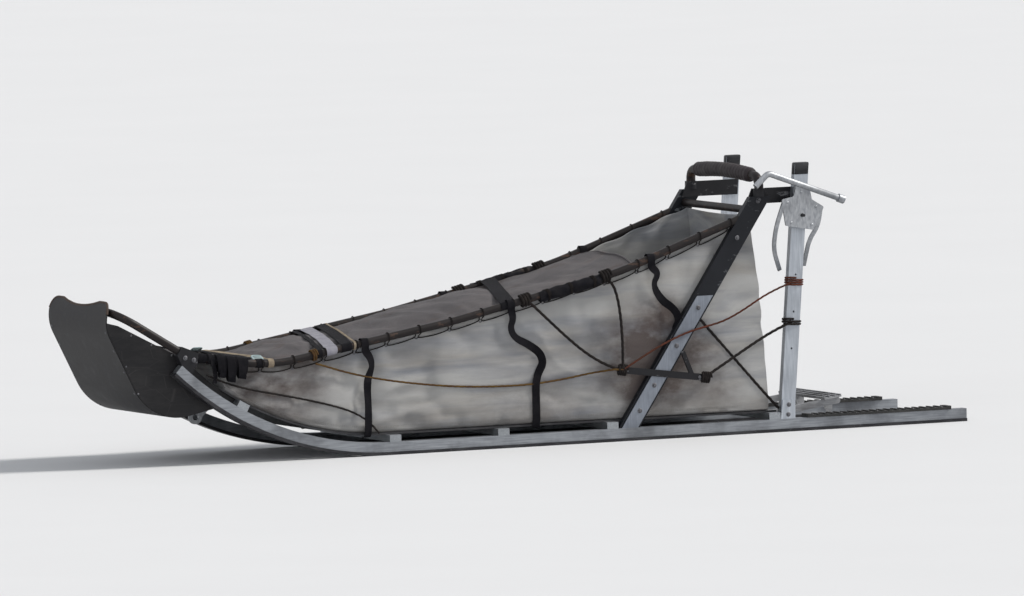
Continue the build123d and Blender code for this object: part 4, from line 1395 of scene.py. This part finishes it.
# heights of the bolts on a bar, its outer face and their radius
BOLT_ROWS = (
    (STANCHION, (96, 176, 300, 420), PLATE_OUTER_Y, 5.2), (POST, (56, 88), BAR_OUTER_Y + 4, 5.0),
    (STANCHION, (640,), BAR_OUTER_Y, 5.0), (POST, (756,), BAR_OUTER_Y, 5.0),
    (STANCHION, (756,), BAR_OUTER_Y, 5.0), (POST, (784,), BAR_OUTER_Y, 5.0),
    (STANCHION, (760,), BAR_OUTER_Y, 5.0),
)
OTHER_BOLTS = (
    (328, LASHING_OUTER_Y, 195, 3.6), (588, LASHING_OUTER_Y, 230, 3.6),
    (2120, PLATE_OUTER_Y, 342, 5.0), (2150, PLATE_OUTER_Y, 350, 5.0),
)
PLATE_RIVET_HEIGHTS = (128, 176, 240, 310, 380, 440)
WING_RIVETS = ((2320, 428), (2250, 394), (2180, 358), (2080, 300), (2340, 330), (2300, 240))
PAD_SCREWS_X = (-85, -190, -320, -450, -555)
TREADLE_BOLTS = [(x, y, 300) for y in (-155, -105, 105, 155) for x in (-222, -196)]
HOOK_PIN_Z = 704
HOOK_RIVETS = ((52, 44), (-50, 26), (2, 76), (40, -22), (-34, -32))


def bolts():
    places = [(on_line(bar, z), y, z, radius) for bar, zs, y, radius in BOLT_ROWS for z in zs]
    shapes = []
    for side in SIDES:
        for i, (x, y, z, radius) in enumerate([*places, *OTHER_BOLTS]):
            shapes += bolt(at(x, side * y, z), (0, side, 0), radius * MM, phase=0.7 * i)
    piece("bolts", shapes, "bolt_steel")


def scoop_rivets():
    """Rivets along the foot and the sides of the scoop plate and on the wings' edges."""
    starts = [(2700, y, z) for z in PLATE_RIVET_HEIGHTS for y in (-214, 214)]
    starts += [(2700, y, 136) for y in (-150, -75, 0, 75, 150)]
    rivets = heads(node_surface("bow_plate"), starts, BEHIND, rivet, 0.004)
    for side, name in SIDES.items():
        starts = [(x, side * 300, z) for x, z in WING_RIVETS]
        rivets += heads(node_surface(f"bow_wing_{name}"), starts, (0, -side, 0), rivet, 0.0035)
    piece("scoop_rivets", rivets, "bolt_steel")


def scoop_trim():
    """Edging along the scoop's top edge, round its ears and down its sides, brown as a painted highlight
    of the lit edge.
    """
    tree = node_surface("bow_plate")
    low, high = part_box("bow_plate")
    edge = []
    for y in np.linspace(low.y + 0.0006, high.y - 0.0006, 150):
        z = high.z + 0.01
        while z > low.z:
            hit = tree.ray_cast(Vector((high.x + 0.1, y, z)), BEHIND)[0]
            if hit:
                edge.append((hit.x - 0.0022, y, z))
                break
            z -= 0.0005
    path = softened(np.array(edge), 4)
    piece("scoop_trim", [swept(path, circle(0.0042, 10))], "trim_rubber")


def post_caps():
    top_x, top_z = POST[1]
    lean = (top_x - POST[0][0]) / (top_z - POST[0][1])
    caps = []
    for side in SIDES:
        rings = []
        for z, grow in ((836, 0.6), (837, 1.6), (871, 1.6), (874, 0.4), (874.8, -3.0)):
            ring = rounded_box(steps_round(24), 25 + grow, 11 + grow, 8)
            rings.append([(top_x + lean * (z - top_z) + x, side * HALF_TRACK + y, z) for x, y in ring])
        caps.append(tube(in_frame(rings)))
    piece("post_caps", caps, "shoe_plastic")


def small_heads():
    """Screws of the foot pads, bolts of the brake and rivets of the hook."""
    screws = []
    for side in SIDES:
        for x in PAD_SCREWS_X:
            screws += rivet(at(x, side * HALF_TRACK, 50.2), (0, 0, 1), 0.0055)
    piece("pad_screws", screws, "bolt_steel")
    brake_bolts = heads(node_surface("brake_frame"), TREADLE_BOLTS, DOWN, bolt, 0.0045)
    for side in SIDES:
        brake_bolts += bolt(at(14, side * 167.2, 53), (0, side, 0), 0.0062)
    piece("brake_bolts", brake_bolts, "bolt_steel", body="brake")
    pin_x = on_line(POST, HOOK_PIN_Z)
    starts = [(pin_x + x, 420, HOOK_PIN_Z + z) for x, z in HOOK_RIVETS]
    rivets = heads(node_surface("snow_hook"), starts, (0, -1, 0), rivet, 0.0045)
    piece("hook_rivets", rivets, "hook_steel", body="hook")


for side in SIDES:
    lacing(side)
    eyelets(side)
    seams(side)
    stays(side)
    for name, (look, route) in SLACK_LINES.items():
        slack_line(name, look, route, side)
    line_ties(side)
    for name, route in HANGING_STRAPS.items():
        hanging_strap(name, route, side)
    front_wraps(side)
    rail_sleeve(side)
for name, values in BANDS.items():
    band(name, *values)
cover_hem()
front_buckles()
bolts()
scoop_rivets()
scoop_trim()
post_caps()
small_heads()


# Floor, light and camera

FLOOR_HALF = 110.0
PHOTO_WIDTH = 1024
PIXELS_PER_METRE = 308.0
CAMERA_AWAY = 60.0
CAMERA_AZIMUTH = 155.0
CAMERA_ELEVATION = 4.0
CAMERA_ROLL = 1.3
LOOK_AT = at(864, 0, 464)


def floor():
    corners = [(x * FLOOR_HALF, y * FLOOR_HALF, 0) for x, y in ((-1, -1), (1, -1), (1, 1), (-1, 1))]
    mesh = bpy.data.meshes.new("floor")
    mesh.from_pydata(corners, [], [(0, 1, 2, 3)])
    mesh.materials.append(looks["floor"])
    linked("floor", mesh)


def back_vector(azimuth, elevation):
    a, e = math.radians(azimuth), math.radians(elevation)
    return Vector((math.sin(a) * math.cos(e), -math.cos(a) * math.cos(e), math.sin(e)))


def sun(name, azimuth, elevation, strength, spread, color):
    """Lamp that shines from this azimuth and elevation, seen from the sled."""
    data = bpy.data.lights.new(name, "SUN")
    data.energy = strength
    data.angle = math.radians(spread)
    data.color = color
    lamp = linked(name, data)
    lamp.rotation_mode = "QUATERNION"
    lamp.rotation_quaternion = back_vector(azimuth, elevation).to_track_quat("Z", "Y")


def world():
    """Soft light all round; the camera and gloss see a pale room in its place."""
    scene.world = bpy.data.worlds.new("studio")
    scene.world.use_nodes = True
    tree = scene.world.node_tree
    light = tree.nodes["Background"]
    light.inputs["Color"].default_value = (0.93, 0.96, 1.0, 1)
    light.inputs["Strength"].default_value = 0.46
    pale = add_node(tree, "Background", {"Color": (0.86, 0.87, 0.9, 1)})
    rays = add_node(tree, "LightPath").node.outputs
    seen = {0: rays["Is Camera Ray"], 1: rays["Is Glossy Ray"]}
    seen = add_node(tree, "Math", seen, operation="MAXIMUM")
    choice = add_node(tree, "MixShader", {0: seen, 1: light.outputs[0], 2: pale})
    tree.links.new(choice, tree.nodes["World Output"].inputs["Surface"])


def camera():
    data = bpy.data.cameras.new("camera")
    data.lens = data.sensor_width * PIXELS_PER_METRE * CAMERA_AWAY / PHOTO_WIDTH
    data.clip_start = 1.0
    data.clip_end = 400.0
    made = linked("camera", data)
    back = back_vector(CAMERA_AZIMUTH, CAMERA_ELEVATION)
    made.location = LOOK_AT + back * CAMERA_AWAY
    made.rotation_mode = "QUATERNION"
    roll = Matrix.Rotation(math.radians(-CAMERA_ROLL), 3, "Z").to_quaternion()
    made.rotation_quaternion = (-back).to_track_quat("-Z", "Y") @ roll
    scene.camera = made


floor()
world()
sun("key", 250.0, 42.0, 3.0, 12.0, (1.0, 0.97, 0.92))
sun("fill", 130.0, 24.0, 0.55, 40.0, (0.94, 0.97, 1.0))
camera()
scene.view_settings.view_transform = "Standard"

bpy.context.view_layer.update()
